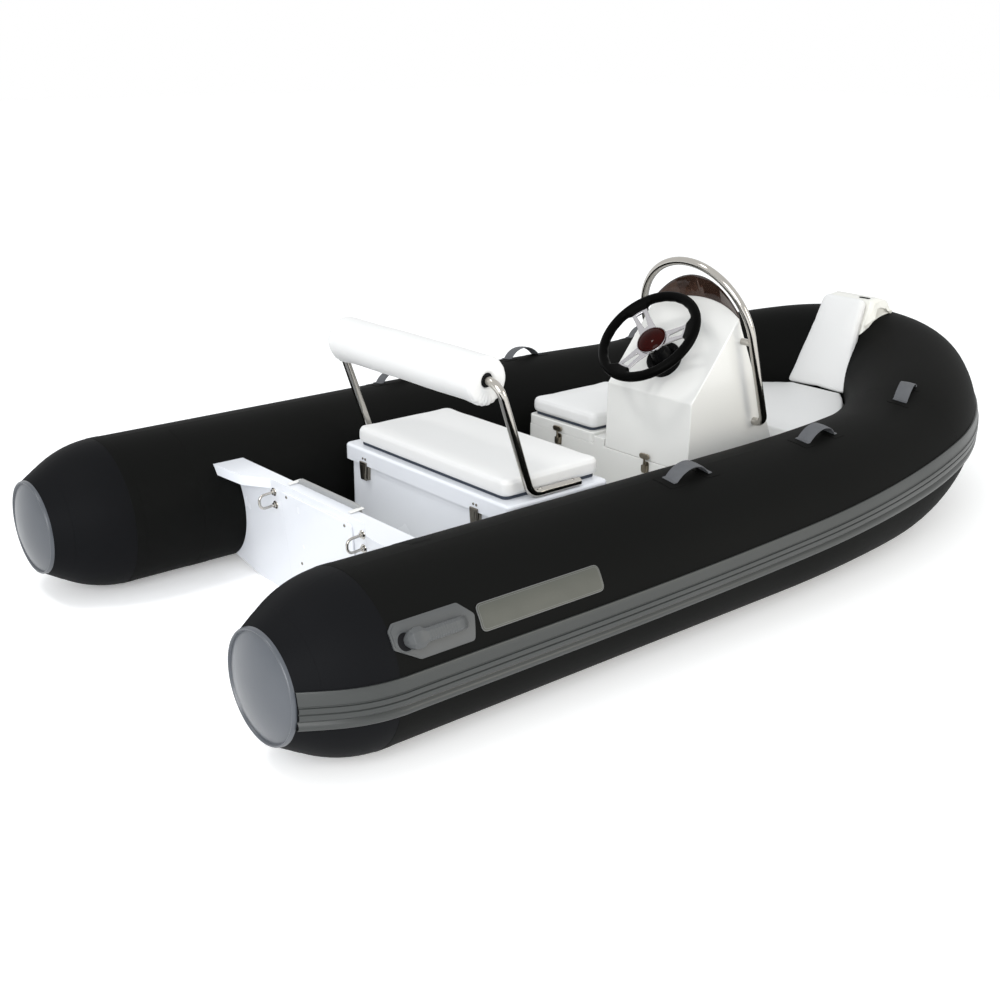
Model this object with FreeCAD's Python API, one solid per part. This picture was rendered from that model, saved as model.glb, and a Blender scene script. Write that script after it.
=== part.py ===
import FreeCAD, Part
import math
import os

from FreeCAD import Vector

# Small rigid-hulled inflatable boat with a tip-up steering console.
# Millimetres. +X runs to the bow, +Y to port, +Z up. The origin is on the centreline at the waterline,
# at the station where the straight side tubes start to bend towards the bow.

# ---------------------------------------------------------------- sizes
seam_gap = 0.3            # fit between a moulding and the curved tube it is bonded to
seat_gap = 0.3            # fit between a cushion or fitting and what it rests on
running_gap = 6           # clearance beside a piece that moves

# side tubes
tube_radius = 220
tube_axis_height = 220
tube_half_spacing = 630
tube_straight_length = 1400
cap_radius = 135
cone_angle = 31.2         # half angle of the stern cone
cone_blend_radius = 320
cap_dome_height = 28
cap_rim_radius = 5

# bow bends, from the straight run forward: radius, turn, and roll of the bend's plane up from level
bow_bends = [
    {"name": "forward flare", "radius": 4400, "turn": 7.5, "roll": 0},
    {"name": "sheer bend", "radius": 1250, "turn": 13.5, "roll": 50},
]
shoulder_radius = 1095
shoulder_turn = 27.8

# rubbing strake, as heights on the tube's outer side
strake_thickness = 9
strake_top_height = 260
strake_bottom_height = 168
strake_level_end = -880
strake_sheer_radius = 26000

# hull and sole
sole_height = 80
sole_thickness = 10
keel_depth = 100
chine_half_width = 300
chine_depth = 15
bow_deck_height = 270
bow_deck_aft = 424

# transom
transom_top = 355
transom_aft = -1077
transom_thickness = 40
transom_rake = 5
transom_ledge_depth = 62
transom_ledge_inner = 236
transom_ledge_thickness = 30
engine_pad_half_width = 176
engine_pad_top = 334
engine_pad_bottom = 20
engine_pad_thickness = 6
clamp_plate_half_width = 150
clamp_plate_rise = 10
clamp_plate_drop = 70
clamp_plate_thickness = 12
u_bolt_y = 220
u_bolt_height = 298
u_bolt_feet = 40
u_bolt_reach = 52
u_bolt_radius = 4

# seat boxes
wall = 8
cushion_plinth = 8
cushion_inset = 26

rear_box_aft = -702
rear_box_forward = -348
rear_box_tube_gap = 35
rear_box_half_width = tube_half_spacing - tube_radius - rear_box_tube_gap
rear_lid_height = 359
rear_lid_skirt = 50
rear_lid_overhang = 14
rear_cushion_thickness = 58
rear_cushion_post_gap = 8.5
rear_cushion_forward = -335

locker_aft = 33
locker_length = 375
locker_tube_gap = 45
locker_half_width = tube_half_spacing - tube_radius - locker_tube_gap
locker_rim_height = 326
locker_seam_height = 292
side_cushion_thickness = 58

# console
console_half_width = 176
console_edge_inset = 8
console_centre = console_edge_inset + console_half_width - locker_half_width
console_knee_height = 508
dash_lean = 39
dash_shoulder = 301
dash_arch_rise = 49
console_front_lean = 27
screen_thickness = 4
screen_lap = 30
screen_height = 62

# steering
wheel_radius = 168
wheel_rim_radius = 14
wheel_standoff = 122
wheel_along_dash = 131
wheel_lean = 47
wheel_spoke_width = 36
wheel_hub_radius = 38
column_radius = 24
bezel_radius = 56
bezel_height = 30
hub_depth = 36
shaft_radius = 8
spoke_angle = 52
spoke_thickness = 4

# stainless rails
rail_radius = 12.5
rail_foot_height = 405
rail_console_gap = 42
rail_half_width = console_half_width + rail_console_gap
rail_spring_height = 689
rail_standoff_length = 280
rail_lean = 18.6
rail_foot_x = 333

# backrest
backrest_radius = 65
backrest_x = -740
backrest_height = 698
hoop_bend_radius = 42
post_edge_inset = 17
post_y = rear_box_half_width + rear_lid_overhang - post_edge_inset
backrest_length = 2 * (post_y - hoop_bend_radius)
rear_cushion_half_width = post_y - rail_radius - rear_cushion_post_gap
post_foot_aft = -622
post_foot_forward = -440

# bow seat
bow_cushion_aft = 600
bow_cushion_thickness = 46
bow_cushion_tube_gap = 8
bow_cushion_lap = 12
back_pad_nose_gap = 64
back_pad_reach = 116
back_pad_top = 633
back_pad_foot_half_width = 132
back_pad_top_half_width = 84
back_pad_thickness = 38
bow_step_half_width = 102
bow_step_foot_rise = 140
bow_step_aft_length = 224
bow_step_outline = [(1345, 640), (1403, 624), (1440, 577), (1455, 520), (1400, 352)]

# webbing handles, carrying handles and plates on the tubes
strap_width = 50
strap_thickness = 3
strap_length = 150
strap_rise = 34
strap_foot = 34
strap_angle = 82
strap_stations = [-320, 250, 850]
carry_from_cone = 95
carry_x = carry_from_cone - tube_straight_length
carry_angle = 29
carry_pad_length = 228
carry_pad_width = 92
carry_pad_thickness = 4
carry_bar_length = 150
carry_bar_rise = 34
carry_bar_foot = 30
carry_bar_width = 24
carry_bar_depth = 14
plate_from_cone = 410
plate_x = plate_from_cone - tube_straight_length
plate_angle = 28
plate_length = 382
plate_width = 66
plate_thickness = 3

# latches
latch_width = 34
latch_height = 62
latch_depth = 14
rear_latch_places = [283, -248]
side_latch_y = 210
console_latch_y = -189

# hinges
hinge_radius = 5
hinge_length = 60
hinge_play = 1.5
knuckle_gap = 1
pin_play = 0.3


# ---------------------------------------------------------------- helpers
def box(x0, x1, y0, y1, z0, z1):
    return Part.makeBox(x1 - x0, y1 - y0, z1 - z0, Vector(x0, y0, z0))


def prism(points, direction):
    wire = Part.makePolygon(points + [points[0]])
    return Part.Face(wire).extrude(direction)


def side_prism(xz, y0, y1):
    return prism([Vector(x, y0, z) for x, z in xz], Vector(0, y1 - y0, 0))


def plan_prism(xy, z0, z1):
    return prism([Vector(x, y, z0) for x, y in xy], Vector(0, 0, z1 - z0))


def bar(start, end, radius):
    run = end.sub(start)
    return Part.makeCylinder(radius, run.Length, start, run)


def fuse(shapes):
    joined = shapes[0].multiFuse(shapes[1:]) if len(shapes) > 1 else shapes[0]
    return joined.removeSplitter()


def mirrored(shape):
    return shape.mirror(Vector(0, 0, 0), Vector(0, 1, 0))


def pair(shape):
    return Part.makeCompound([shape, mirrored(shape)])


def round_edges(shape, radius, wanted):
    edges = [edge for edge in shape.Edges if wanted(edge)]
    return shape.makeFillet(radius, edges)


def is_upright(edge):
    run = edge.Vertexes[-1].Point.sub(edge.Vertexes[0].Point)
    return abs(run.x) + abs(run.y) < 0.01 * abs(run.z)


def bent_bar(points, bend, radius):
    """A round bar through the points, with a tangent arc of the given bend radius at each inner point."""
    pieces = []
    start = points[0]
    for before, corner, after in zip(points, points[1:], points[2:]):
        incoming = corner.sub(before).normalize()
        outgoing = after.sub(corner).normalize()
        turn = incoming.getAngle(outgoing)
        trim = bend * math.tan(turn / 2)
        arc_start = corner - incoming * trim
        axis = incoming.cross(outgoing).normalize()
        centre = arc_start + axis.cross(incoming) * bend
        section = Part.Face(Part.Wire(Part.makeCircle(radius, arc_start, incoming)))
        pieces.append(bar(start, arc_start, radius))
        pieces.append(section.revolve(centre, axis, math.degrees(turn)))
        start = corner + outgoing * trim
    pieces.append(bar(start, points[-1], radius))
    return fuse(pieces)


def save(name, shape):
    shape.exportStep("parts/" + name + ".step")


os.makedirs("parts", exist_ok=True)

# ---------------------------------------------------------------- tube centreline
# Each side's centreline is a straight run and a chain of tangent arcs. The last two lie in one plane
# that contains the athwartships direction, so the two sides close in one smooth nose.
tube_aft_end = -tube_straight_length
port_start = Vector(tube_aft_end, tube_half_spacing, tube_axis_height)
to_starboard = Vector(0, -1, 0)
up = Vector(0, 0, 1)


def bend_arc(point, heading, inward, radius, turn):
    centre = point + inward * radius
    axis = heading.cross(inward)
    return {"start": point, "heading": heading, "centre": centre, "axis": axis, "turn": turn, "radius": radius}


def along(arc, turn):
    """Point and heading after a part of the arc's turn."""
    rotation = FreeCAD.Rotation(arc["axis"], turn)
    arm = arc["start"].sub(arc["centre"])
    return arc["centre"] + rotation.multVec(arm), rotation.multVec(arc["heading"])


def towards_centreline(heading):
    return (to_starboard - heading * heading.dot(to_starboard)).normalize()


centreline_arcs = []
point = Vector(0, tube_half_spacing, tube_axis_height)
heading = Vector(1, 0, 0)
for bend in bow_bends:
    level_inward = towards_centreline(Vector(heading.x, heading.y, 0).normalize())
    roll = math.radians(bend["roll"])
    inward = level_inward * math.cos(roll) + up * math.sin(roll)
    inward = (inward - heading * heading.dot(inward)).normalize()
    centreline_arcs.append(bend_arc(point, heading, inward, bend["radius"], bend["turn"]))
    point, heading = along(centreline_arcs[-1], bend["turn"])

centreline_arcs.append(bend_arc(point, heading, towards_centreline(heading), shoulder_radius, shoulder_turn))
point, heading = along(centreline_arcs[-1], shoulder_turn)
nose_inward = towards_centreline(heading)
nose_radius = -point.y / nose_inward.y
nose_turn = math.degrees(heading.getAngle(to_starboard))
centreline_arcs.append(bend_arc(point, heading, nose_inward, nose_radius, nose_turn))
nose_point, nose_heading = along(centreline_arcs[-1], nose_turn)
nose_inner_x = nose_point.x - tube_radius


def arc_tube(arc, radius):
    section = Part.Face(Part.Wire(Part.makeCircle(radius, arc["start"], arc["heading"])))
    return section.revolve(arc["centre"], arc["axis"], arc["turn"])


def side_run(radius, aft_x):
    start = Vector(aft_x, tube_half_spacing, tube_axis_height)
    return bar(start, Vector(0, tube_half_spacing, tube_axis_height), radius)


def port_side(radius, aft_x):
    return fuse([side_run(radius, aft_x)] + [arc_tube(arc, radius) for arc in centreline_arcs[:2]])


def bow_loop(radius):
    half = fuse([arc_tube(arc, radius) for arc in centreline_arcs[2:]])
    return fuse([half, mirrored(half)])


def tube_station(distance):
    """Point, heading and upward normal on the port centreline, measured forward from amidships."""
    if distance <= 0:
        return Vector(distance, tube_half_spacing, tube_axis_height), Vector(1, 0, 0), up
    left = distance
    for arc in centreline_arcs:
        length = math.radians(arc["turn"]) * arc["radius"]
        if left <= length or arc is centreline_arcs[-1]:
            spot, run = along(arc, arc["turn"] * left / length)
            return spot, run, (up - run * run.dot(up)).normalize()
        left -= length


# ---------------------------------------------------------------- tubes
port_tube = port_side(tube_radius, tube_aft_end)
save("port_tube", port_tube)
save("starboard_tube", mirrored(port_tube))
bow_tube = bow_loop(tube_radius)
save("bow_tube", bow_tube)

# What is bonded to the tubes is cut with this slightly larger body.
envelope_aft = -2200
port_envelope = port_side(tube_radius + seam_gap, envelope_aft)
tube_envelope = [port_envelope, mirrored(port_envelope), bow_loop(tube_radius + seam_gap)]


def clear_of_tubes(shape):
    return shape.cut(tube_envelope)


# Stern cones: a straight taper that blends into the tube through a tangent arc.
taper = math.radians(cone_angle)
blend_drop = cone_blend_radius * (1 - math.cos(taper))
blend_length = cone_blend_radius * math.sin(taper)
taper_length = (tube_radius - blend_drop - cap_radius) / math.tan(taper)
cap_plane = tube_aft_end - blend_length - taper_length


def port_cone(growth):
    """The port stern cone with its surface moved outwards by the growth."""
    small = cap_radius + growth
    large = tube_radius + growth
    blend_aft = Vector(cap_plane + taper_length, 0, large - blend_drop)
    blend_middle = Vector(
        tube_aft_end - cone_blend_radius * math.sin(taper / 2), 0,
        large - cone_blend_radius * (1 - math.cos(taper / 2)),
    )
    profile = Part.Wire([
        Part.makeLine(Vector(cap_plane, 0, 0), Vector(cap_plane, 0, small)),
        Part.makeLine(Vector(cap_plane, 0, small), blend_aft),
        Part.Arc(blend_aft, blend_middle, Vector(tube_aft_end, 0, large)).toShape(),
        Part.makeLine(Vector(tube_aft_end, 0, large), Vector(tube_aft_end, 0, 0)),
        Part.makeLine(Vector(tube_aft_end, 0, 0), Vector(cap_plane, 0, 0)),
    ])
    body = Part.Face(profile).revolve(Vector(0, 0, 0), Vector(1, 0, 0), 360)
    body.translate(Vector(0, tube_half_spacing, tube_axis_height))
    return body


save("stern_cones", pair(port_cone(0)))

# End caps: a shallow dome with a rolled rim, on the small end of each cone.
dome_radius = (cap_radius ** 2 + cap_dome_height ** 2) / (2 * cap_dome_height)
dome = Part.makeSphere(dome_radius, Vector(dome_radius - cap_dome_height, 0, 0))
dome_limit = bar(Vector(-cap_dome_height, 0, 0), Vector(0, 0, 0), cap_radius)
dome = dome.common(dome_limit)
rim_centre = Vector(-cap_rim_radius, 0, 0)
rim = Part.makeTorus(cap_radius - cap_rim_radius, cap_rim_radius, rim_centre, Vector(1, 0, 0))
cap = fuse([dome, rim])
cap.translate(Vector(cap_plane, tube_half_spacing, tube_axis_height))
save("end_caps", pair(cap))

# Rubbing strake: a band on the outer side, level aft and sweeping up towards the bow. It is the part
# of a skin over the tube that lies between two side-view curves, outside the tube's centreline.
strake_forward = nose_point.x + tube_radius + 100
strake_reach = strake_forward - strake_level_end


def sheer_rise(reach):
    return strake_sheer_radius - math.sqrt(strake_sheer_radius ** 2 - reach ** 2)


def strake_curve(height):
    aft = Vector(cap_plane, 0, height)
    level_end = Vector(strake_level_end, 0, height)
    middle = Vector(strake_level_end + strake_reach / 2, 0, height + sheer_rise(strake_reach / 2))
    forward = Vector(strake_forward, 0, height + sheer_rise(strake_reach))
    return aft, forward, [Part.makeLine(aft, level_end), Part.Arc(level_end, middle, forward).toShape()]


upper_aft, upper_forward, upper_edges = strake_curve(strake_top_height)
lower_aft, lower_forward, lower_edges = strake_curve(strake_bottom_height)
ends = [Part.makeLine(upper_aft, lower_aft), Part.makeLine(upper_forward, lower_forward)]
strake_side = Part.Face(Part.Wire(Part.__sortEdges__(upper_edges + lower_edges + ends)))
outboard_limit = tube_half_spacing + 2 * tube_radius
strake_slab = strake_side.extrude(Vector(0, outboard_limit, 0))

inner_outline = [Vector(cap_plane, tube_half_spacing, 0)]
for arc in centreline_arcs:
    for share in (0, 0.25, 0.5, 0.75):
        inner_outline.append(along(arc, arc["turn"] * share)[0])
inner_outline += [nose_point, Vector(cap_plane, 0, 0)]
inner_side = plan_prism([(spot.x, spot.y) for spot in inner_outline], 0, 4 * tube_radius)

inner_skin = tube_radius + seam_gap
outer_skin = inner_skin + strake_thickness
side_skin = port_side(outer_skin, tube_aft_end).cut(port_side(inner_skin, tube_aft_end))
cone_skin = port_cone(seam_gap + strake_thickness).cut(port_cone(seam_gap))
bow_skin = bow_loop(outer_skin).cut(bow_loop(inner_skin))
port_strake = fuse([skin.common(strake_slab).cut(inner_side) for skin in (side_skin, cone_skin)])
save("port_rub_strake", port_strake)
save("starboard_rub_strake", mirrored(port_strake))
port_bow_strake = bow_skin.common(strake_slab).cut(inner_side)
save("bow_rub_strake", fuse([port_bow_strake, mirrored(port_bow_strake)]))

# ---------------------------------------------------------------- hull and sole
# Ruled V bottom. Each section runs keel, chine, outer edge and deck edge. The outer two lie inside the
# tube, inboard of its centreline by the inset, so that the cut along the tube makes the bonded flange.
deck_base = sole_height - sole_thickness
hull_sections = [
    {"x": -1250, "keel": -keel_depth, "chine": (chine_half_width, -chine_depth), "edge": (70, 39), "deck": 70},
    {"x": 0, "keel": -keel_depth, "chine": (chine_half_width, -chine_depth), "edge": (70, 39), "deck": 70},
    {"x": 560, "keel": -80, "chine": (270, -2), "edge": (64, 45), "deck": 70},
    {"x": 950, "keel": -30, "chine": (200, 45), "edge": (72, 95), "deck": 110},
    {"x": 1210, "keel": 50, "chine": (110, 105), "edge": (65, 150), "deck": 170},
    {"x": 1390, "keel": 150, "chine": (40, 165), "edge": (33, 185), "deck": 200},
]
centreline_length = sum(math.radians(arc["turn"]) * arc["radius"] for arc in centreline_arcs)


def edge_half_width(section):
    """Half width of the hull's outer edge at a section, found from the tube's centreline there."""
    low = 0
    high = centreline_length
    while high - low > 0.001:
        middle = (low + high) / 2
        if tube_station(middle)[0].x < section["x"]:
            low = middle
        else:
            high = middle
    return tube_station(low)[0].y - section["edge"][0]


def hull_wire(section):
    chine_y, chine_z = section["chine"]
    edge_y = edge_half_width(section)
    edge_z = section["edge"][1]
    outline = [
        (0, section["keel"]), (chine_y, chine_z), (edge_y, edge_z), (edge_y, section["deck"]),
        (-edge_y, section["deck"]), (-edge_y, edge_z), (-chine_y, chine_z),
    ]
    corners = [Vector(section["x"], y, z) for y, z in outline]
    return Part.makePolygon(corners + [corners[0]])


hull_form = Part.makeLoft([hull_wire(section) for section in hull_sections], True, True)

# The transom plate is raked about its top aft edge, with its foot further forward.
transom_edge = Vector(transom_aft, 0, transom_top)
tube_inboard = tube_half_spacing - tube_radius
plate_half_width = tube_half_spacing - 70


def raked(shape):
    turned = shape.copy()
    turned.rotate(transom_edge, Vector(0, 1, 0), -transom_rake)
    return turned


below_keel = -keel_depth - 50
above_top = transom_top + 60
plate_forward = transom_aft + transom_thickness
plate_slab = raked(box(transom_aft, plate_forward, -plate_half_width, plate_half_width, below_keel, above_top))
forward_of_plate = raked(box(plate_forward, 3000, -1000, 1000, -1500, 1500))
above_sole = box(-1400, 0, -plate_half_width, plate_half_width, deck_base, transom_top)

hull = clear_of_tubes(hull_form.common(forward_of_plate))
save("hull", hull)

sole = box(-1400, bow_deck_aft, -plate_half_width, plate_half_width, deck_base, sole_height)
save("cockpit_sole", clear_of_tubes(sole.common(forward_of_plate)))

# Transom with a ledge that steps aft near each tube.
plate = fuse([plate_slab.common(hull_form), plate_slab.common(above_sole)])
ledge_outline = [
    (plate_forward, transom_ledge_inner), (transom_aft, transom_ledge_inner),
    (transom_aft - 0.8 * transom_ledge_depth, transom_ledge_inner + 76),
    (transom_aft - transom_ledge_depth, tube_inboard + 60),
    (plate_forward, tube_inboard + 60),
]
ledge = plan_prism(ledge_outline, transom_top - transom_ledge_thickness, transom_top)
transom = clear_of_tubes(fuse([plate, ledge, mirrored(ledge)]))
save("transom", transom)

# Raised pad for the outboard motor's bracket, and the plate its clamps bite on.
pad_aft = transom_aft - engine_pad_thickness
engine_pad = box(
    pad_aft, transom_aft, -engine_pad_half_width, engine_pad_half_width, engine_pad_bottom, engine_pad_top,
)
engine_pad = round_edges(engine_pad, 12, lambda edge: abs(edge.BoundBox.XLength - engine_pad_thickness) < 0.01)
save("engine_pad", raked(engine_pad))
clamp_plate = box(
    plate_forward, plate_forward + clamp_plate_thickness, -clamp_plate_half_width, clamp_plate_half_width,
    transom_top - clamp_plate_drop, transom_top + clamp_plate_rise,
)
is_plate_corner = lambda edge: abs(edge.BoundBox.XLength - clamp_plate_thickness) < 0.01
save("clamp_plate", raked(round_edges(clamp_plate, 14, is_plate_corner)))

# Stern U-bolts, one each side of the pad, legs one above the other.
upper_leg = u_bolt_height + u_bolt_feet / 2
lower_leg = u_bolt_height - u_bolt_feet / 2
loop_aft = transom_aft - u_bolt_reach
u_bolt = bent_bar(
    [
        Vector(transom_aft, u_bolt_y, upper_leg), Vector(loop_aft, u_bolt_y, upper_leg),
        Vector(loop_aft, u_bolt_y, lower_leg), Vector(transom_aft, u_bolt_y, lower_leg),
    ],
    14, u_bolt_radius,
)
foot_radius = 2.3 * u_bolt_radius
feet = [bar(Vector(transom_aft, u_bolt_y, z), Vector(transom_aft - 6, u_bolt_y, z), foot_radius)
        for z in (upper_leg, lower_leg)]
save("stern_u_bolts", raked(pair(fuse([u_bolt] + feet))))


# ---------------------------------------------------------------- hinges and latches
def hinge(y, axis_x, axis_z, fixed_tie, moving_tie):
    """Two fixed knuckles on a pin, and between them one moving knuckle.

    Each tie is the side outline of the leaf that joins the knuckles to the face they are screwed to."""
    third = hinge_length / 3
    axis = Vector(axis_x, y, axis_z)
    pin_radius = 0.4 * hinge_radius
    pin_end = Vector(0, 1.5 * third, 0)
    fixed = [bar(axis - pin_end, axis + pin_end, pin_radius)]
    for low, high in ((-1.5 * third, -third / 2 - knuckle_gap), (third / 2 + knuckle_gap, 1.5 * third)):
        fixed.append(bar(axis + Vector(0, low, 0), axis + Vector(0, high, 0), hinge_radius))
        fixed.append(side_prism(fixed_tie, y + low, y + high))
    middle = bar(axis - Vector(0, third / 2, 0), axis + Vector(0, third / 2, 0), hinge_radius)
    leaf = side_prism(moving_tie, y - third / 2, y + third / 2)
    bore = bar(axis - pin_end, axis + pin_end, pin_radius + pin_play)
    return fuse(fixed), fuse([middle, leaf]).cut(bore)


def tie_block(x0, x1, z0, z1):
    return [(x0, z0), (x1, z0), (x1, z1), (x0, z1)]


def latch(y, face, seam, lid_face):
    """A draw latch on the fixed face under the seam, its T head in front of a keeper on the lid."""
    front = lid_face - latch_depth
    base = box(face - 3, face, y - latch_width / 2, y + latch_width / 2, seam - 0.6 * latch_height, seam - 4)
    arm = box(front, face - 3, y - 9, y + 9, seam - 0.5 * latch_height, seam - 8)
    neck = box(front, front + 6, y - 7, y + 7, seam - 10, seam + 0.2 * latch_height)
    head = box(front, front + 6, y - latch_width / 2, y + latch_width / 2, seam + 6, seam + 0.38 * latch_height)
    head = round_edges(head, 5, lambda edge: abs(edge.BoundBox.XLength - 6) < 0.01)
    keeper = box(lid_face - 3, lid_face, y - 11, y + 11, seam + 4, seam + 0.34 * latch_height)
    return fuse([base, arm, neck, head]), keeper


def tray_lid(x0, x1, y0, y1, seam, top, skirt):
    """A moulded lid, open below, with a plinth that lifts its cushion."""
    outer = round_edges(box(x0, x1, y0, y1, seam, top), 18, is_upright)
    inner = box(x0 + skirt, x1 - skirt, y0 + skirt, y1 - skirt, seam - 1, top - wall)
    side_inset = cushion_inset + 20
    plinth = box(
        x0 + cushion_inset, x1 - cushion_inset, y0 + side_inset, y1 - side_inset,
        top, top + cushion_plinth - seat_gap,
    )
    return fuse([outer, plinth]).cut(inner)


def cushion(x0, x1, y0, y1, z0, z1):
    return round_edges(box(x0, x1, y0, y1, z0, z1), 24, is_upright)


# ---------------------------------------------------------------- rear seat
rear_seam = rear_lid_height - rear_lid_skirt
rear_box_outer = round_edges(
    box(rear_box_aft, rear_box_forward, -rear_box_half_width, rear_box_half_width, sole_height, rear_seam),
    20, is_upright,
)
rear_box_inner = box(
    rear_box_aft + wall, rear_box_forward - wall, -rear_box_half_width + wall, rear_box_half_width - wall,
    sole_height + wall, rear_seam + 1,
)
save("rear_seat_box", rear_box_outer.cut(rear_box_inner))

rear_lid_aft = rear_box_aft - rear_lid_overhang
rear_lid_forward = rear_box_forward + rear_lid_overhang
rear_lid_half_width = rear_box_half_width + rear_lid_overhang
rear_lid = tray_lid(
    rear_lid_aft, rear_lid_forward, -rear_lid_half_width, rear_lid_half_width,
    rear_seam + seat_gap, rear_lid_height, rear_lid_overhang + wall,
)
save("rear_seat_lid", rear_lid)

rear_cushion_base = rear_lid_height + cushion_plinth
save("rear_seat_cushion", cushion(
    rear_lid_aft + 20, rear_cushion_forward, -rear_cushion_half_width, rear_cushion_half_width,
    rear_cushion_base, rear_cushion_base + rear_cushion_thickness,
))

rear_hinge_x = rear_lid_forward + hinge_radius + hinge_play
rear_hinge_z = rear_seam - hinge_radius
rear_hinge_y = 250
fixed, moving = hinge(
    rear_hinge_y, rear_hinge_x, rear_hinge_z,
    tie_block(rear_box_forward, rear_hinge_x, rear_hinge_z - hinge_radius, rear_hinge_z),
    tie_block(rear_lid_forward, rear_hinge_x, rear_hinge_z, rear_seam + 3 * hinge_radius),
)
save("rear_lid_hinges", pair(fixed))
save("rear_lid_knuckles", pair(moving))

rear_latches = [latch(y, rear_box_aft, rear_seam, rear_lid_aft) for y in rear_latch_places]
save("rear_latches", Part.makeCompound([fixed for fixed, keeper in rear_latches]))
save("rear_latch_keepers", Part.makeCompound([keeper for fixed, keeper in rear_latches]))

# Backrest: one bent stainless hoop with its feet along the lid's side rims, through a round bolster.
post_foot_z = rear_lid_height + rail_radius
hoop_half = [
    Vector(post_foot_forward, post_y, post_foot_z), Vector(post_foot_aft, post_y, post_foot_z),
    Vector(backrest_x, post_y, backrest_height),
]
hoop_other = [Vector(spot.x, -spot.y, spot.z) for spot in reversed(hoop_half)]
save("backrest_frame", bent_bar(hoop_half + hoop_other, hoop_bend_radius, rail_radius))

bolster_end = backrest_length / 2
bolster_axis = [Vector(backrest_x, side * bolster_end, backrest_height) for side in (-1, 1)]
bolster = bar(bolster_axis[0], bolster_axis[1], backrest_radius)
save("backrest_bolster", bolster.cut(bar(bolster_axis[0], bolster_axis[1], rail_radius + seat_gap)))

# ---------------------------------------------------------------- middle locker and side seat
locker_forward = bow_deck_aft - 4
seat_forward = locker_aft + locker_length
console_port = console_centre + console_half_width
console_starboard = console_centre - console_half_width
seat_inner = console_port + 60
locker_outer = round_edges(
    box(locker_aft, locker_forward, -locker_half_width, locker_half_width, sole_height, locker_seam_height),
    14, is_upright,
)
locker_inner = box(
    locker_aft + wall, locker_forward - wall, -locker_half_width + wall, locker_half_width - wall,
    sole_height + wall, locker_seam_height - wall,
)
seat_hatch = box(
    locker_aft + 24, seat_forward - 24, seat_inner + 24, locker_half_width - 24,
    locker_seam_height - 2 * wall, locker_seam_height + 1,
)
console_hatch = box(
    locker_aft + 30, locker_forward - 90, console_starboard + 30, console_port - 30,
    locker_seam_height - 2 * wall, locker_seam_height + 1,
)
kerb = box(
    locker_aft, seat_forward, console_port + running_gap, seat_inner - running_gap,
    locker_seam_height, locker_rim_height - wall,
)
save("middle_locker", fuse([locker_outer, kerb]).cut([locker_inner, seat_hatch, console_hatch]))

side_lid = tray_lid(
    locker_aft, seat_forward, seat_inner, locker_half_width, locker_seam_height + seat_gap, locker_rim_height, 20,
)
save("side_seat_lid", side_lid)
side_cushion_base = locker_rim_height + cushion_plinth
save("side_seat_cushion", cushion(
    locker_aft + 6, seat_forward - 6, seat_inner + 6, locker_half_width - 4,
    side_cushion_base, side_cushion_base + side_cushion_thickness,
))

side_hinge_x = seat_forward + hinge_radius + hinge_play
side_hinge_z = locker_seam_height + hinge_radius + hinge_play
side_hinge_foot = tie_block(side_hinge_x - hinge_radius, side_hinge_x, locker_seam_height, side_hinge_z)
side_hinge_leaf = tie_block(seat_forward, side_hinge_x, side_hinge_z, locker_rim_height - 6)
side_seat_middle = (seat_inner + locker_half_width) / 2
side_hinges = [
    hinge(side_seat_middle + offset, side_hinge_x, side_hinge_z, side_hinge_foot, side_hinge_leaf)
    for offset in (-90, 90)
]
save("side_lid_hinges", Part.makeCompound([fixed for fixed, moving in side_hinges]))
save("side_lid_knuckles", Part.makeCompound([moving for fixed, moving in side_hinges]))
side_latch, side_keeper = latch(side_latch_y, locker_aft, locker_seam_height, locker_aft)
save("side_latch", side_latch)
save("side_latch_keeper", side_keeper)

# ---------------------------------------------------------------- console
# The console is one arch-topped outline in the plane of the dash, carried down and forward at the lean
# of its front, and trimmed by an upright aft face and a level foot.
lean = math.radians(dash_lean)
dash_up = Vector(math.sin(lean), 0, math.cos(lean))
dash_out = Vector(-math.cos(lean), 0, math.sin(lean))
front_lean = math.radians(console_front_lean)
front_down = Vector(math.sin(front_lean), 0, -math.cos(front_lean))
knee = Vector(locker_aft, console_centre, console_knee_height)


def on_dash(across, along_dash, out=0):
    return knee + Vector(0, across, 0) + dash_up * along_dash + dash_out * out


def dash_outline(inset, drop, out):
    """The arch-topped outline, drawn in by the inset and starting the drop below the knee."""
    half = console_half_width - inset
    arch_radius = (console_half_width ** 2 + dash_arch_rise ** 2) / (2 * dash_arch_rise)
    arch_middle = dash_shoulder + dash_arch_rise - arch_radius
    reach = arch_radius - inset
    shoulder = arch_middle + math.sqrt(reach ** 2 - half ** 2)
    return Part.Face(Part.Wire([
        Part.makeLine(on_dash(half, -drop, out), on_dash(half, shoulder, out)),
        Part.Arc(
            on_dash(half, shoulder, out), on_dash(0, arch_middle + reach, out), on_dash(-half, shoulder, out),
        ).toShape(),
        Part.makeLine(on_dash(-half, shoulder, out), on_dash(-half, -drop, out)),
        Part.makeLine(on_dash(-half, -drop, out), on_dash(half, -drop, out)),
    ]))


console_foot = locker_seam_height + seat_gap
console_toe = bow_deck_height + seat_gap
console_reach = 900
above_foot = fuse([
    box(locker_aft, 2000, -1000, 1000, console_foot, 2000),
    box(bow_deck_aft + seat_gap, 2000, -1000, 1000, console_toe, 2000),
])
console_form = dash_outline(0, 260, 0).extrude(front_down * console_reach)
console_outer = console_form.common(above_foot)
console_inner = dash_outline(wall, 260, -wall).extrude(front_down * console_reach)
console_inner = console_inner.common(box(locker_aft + wall, 2000, -1000, 1000, console_toe - 20, 2000))
save("console", console_outer.cut(console_inner))

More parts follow.
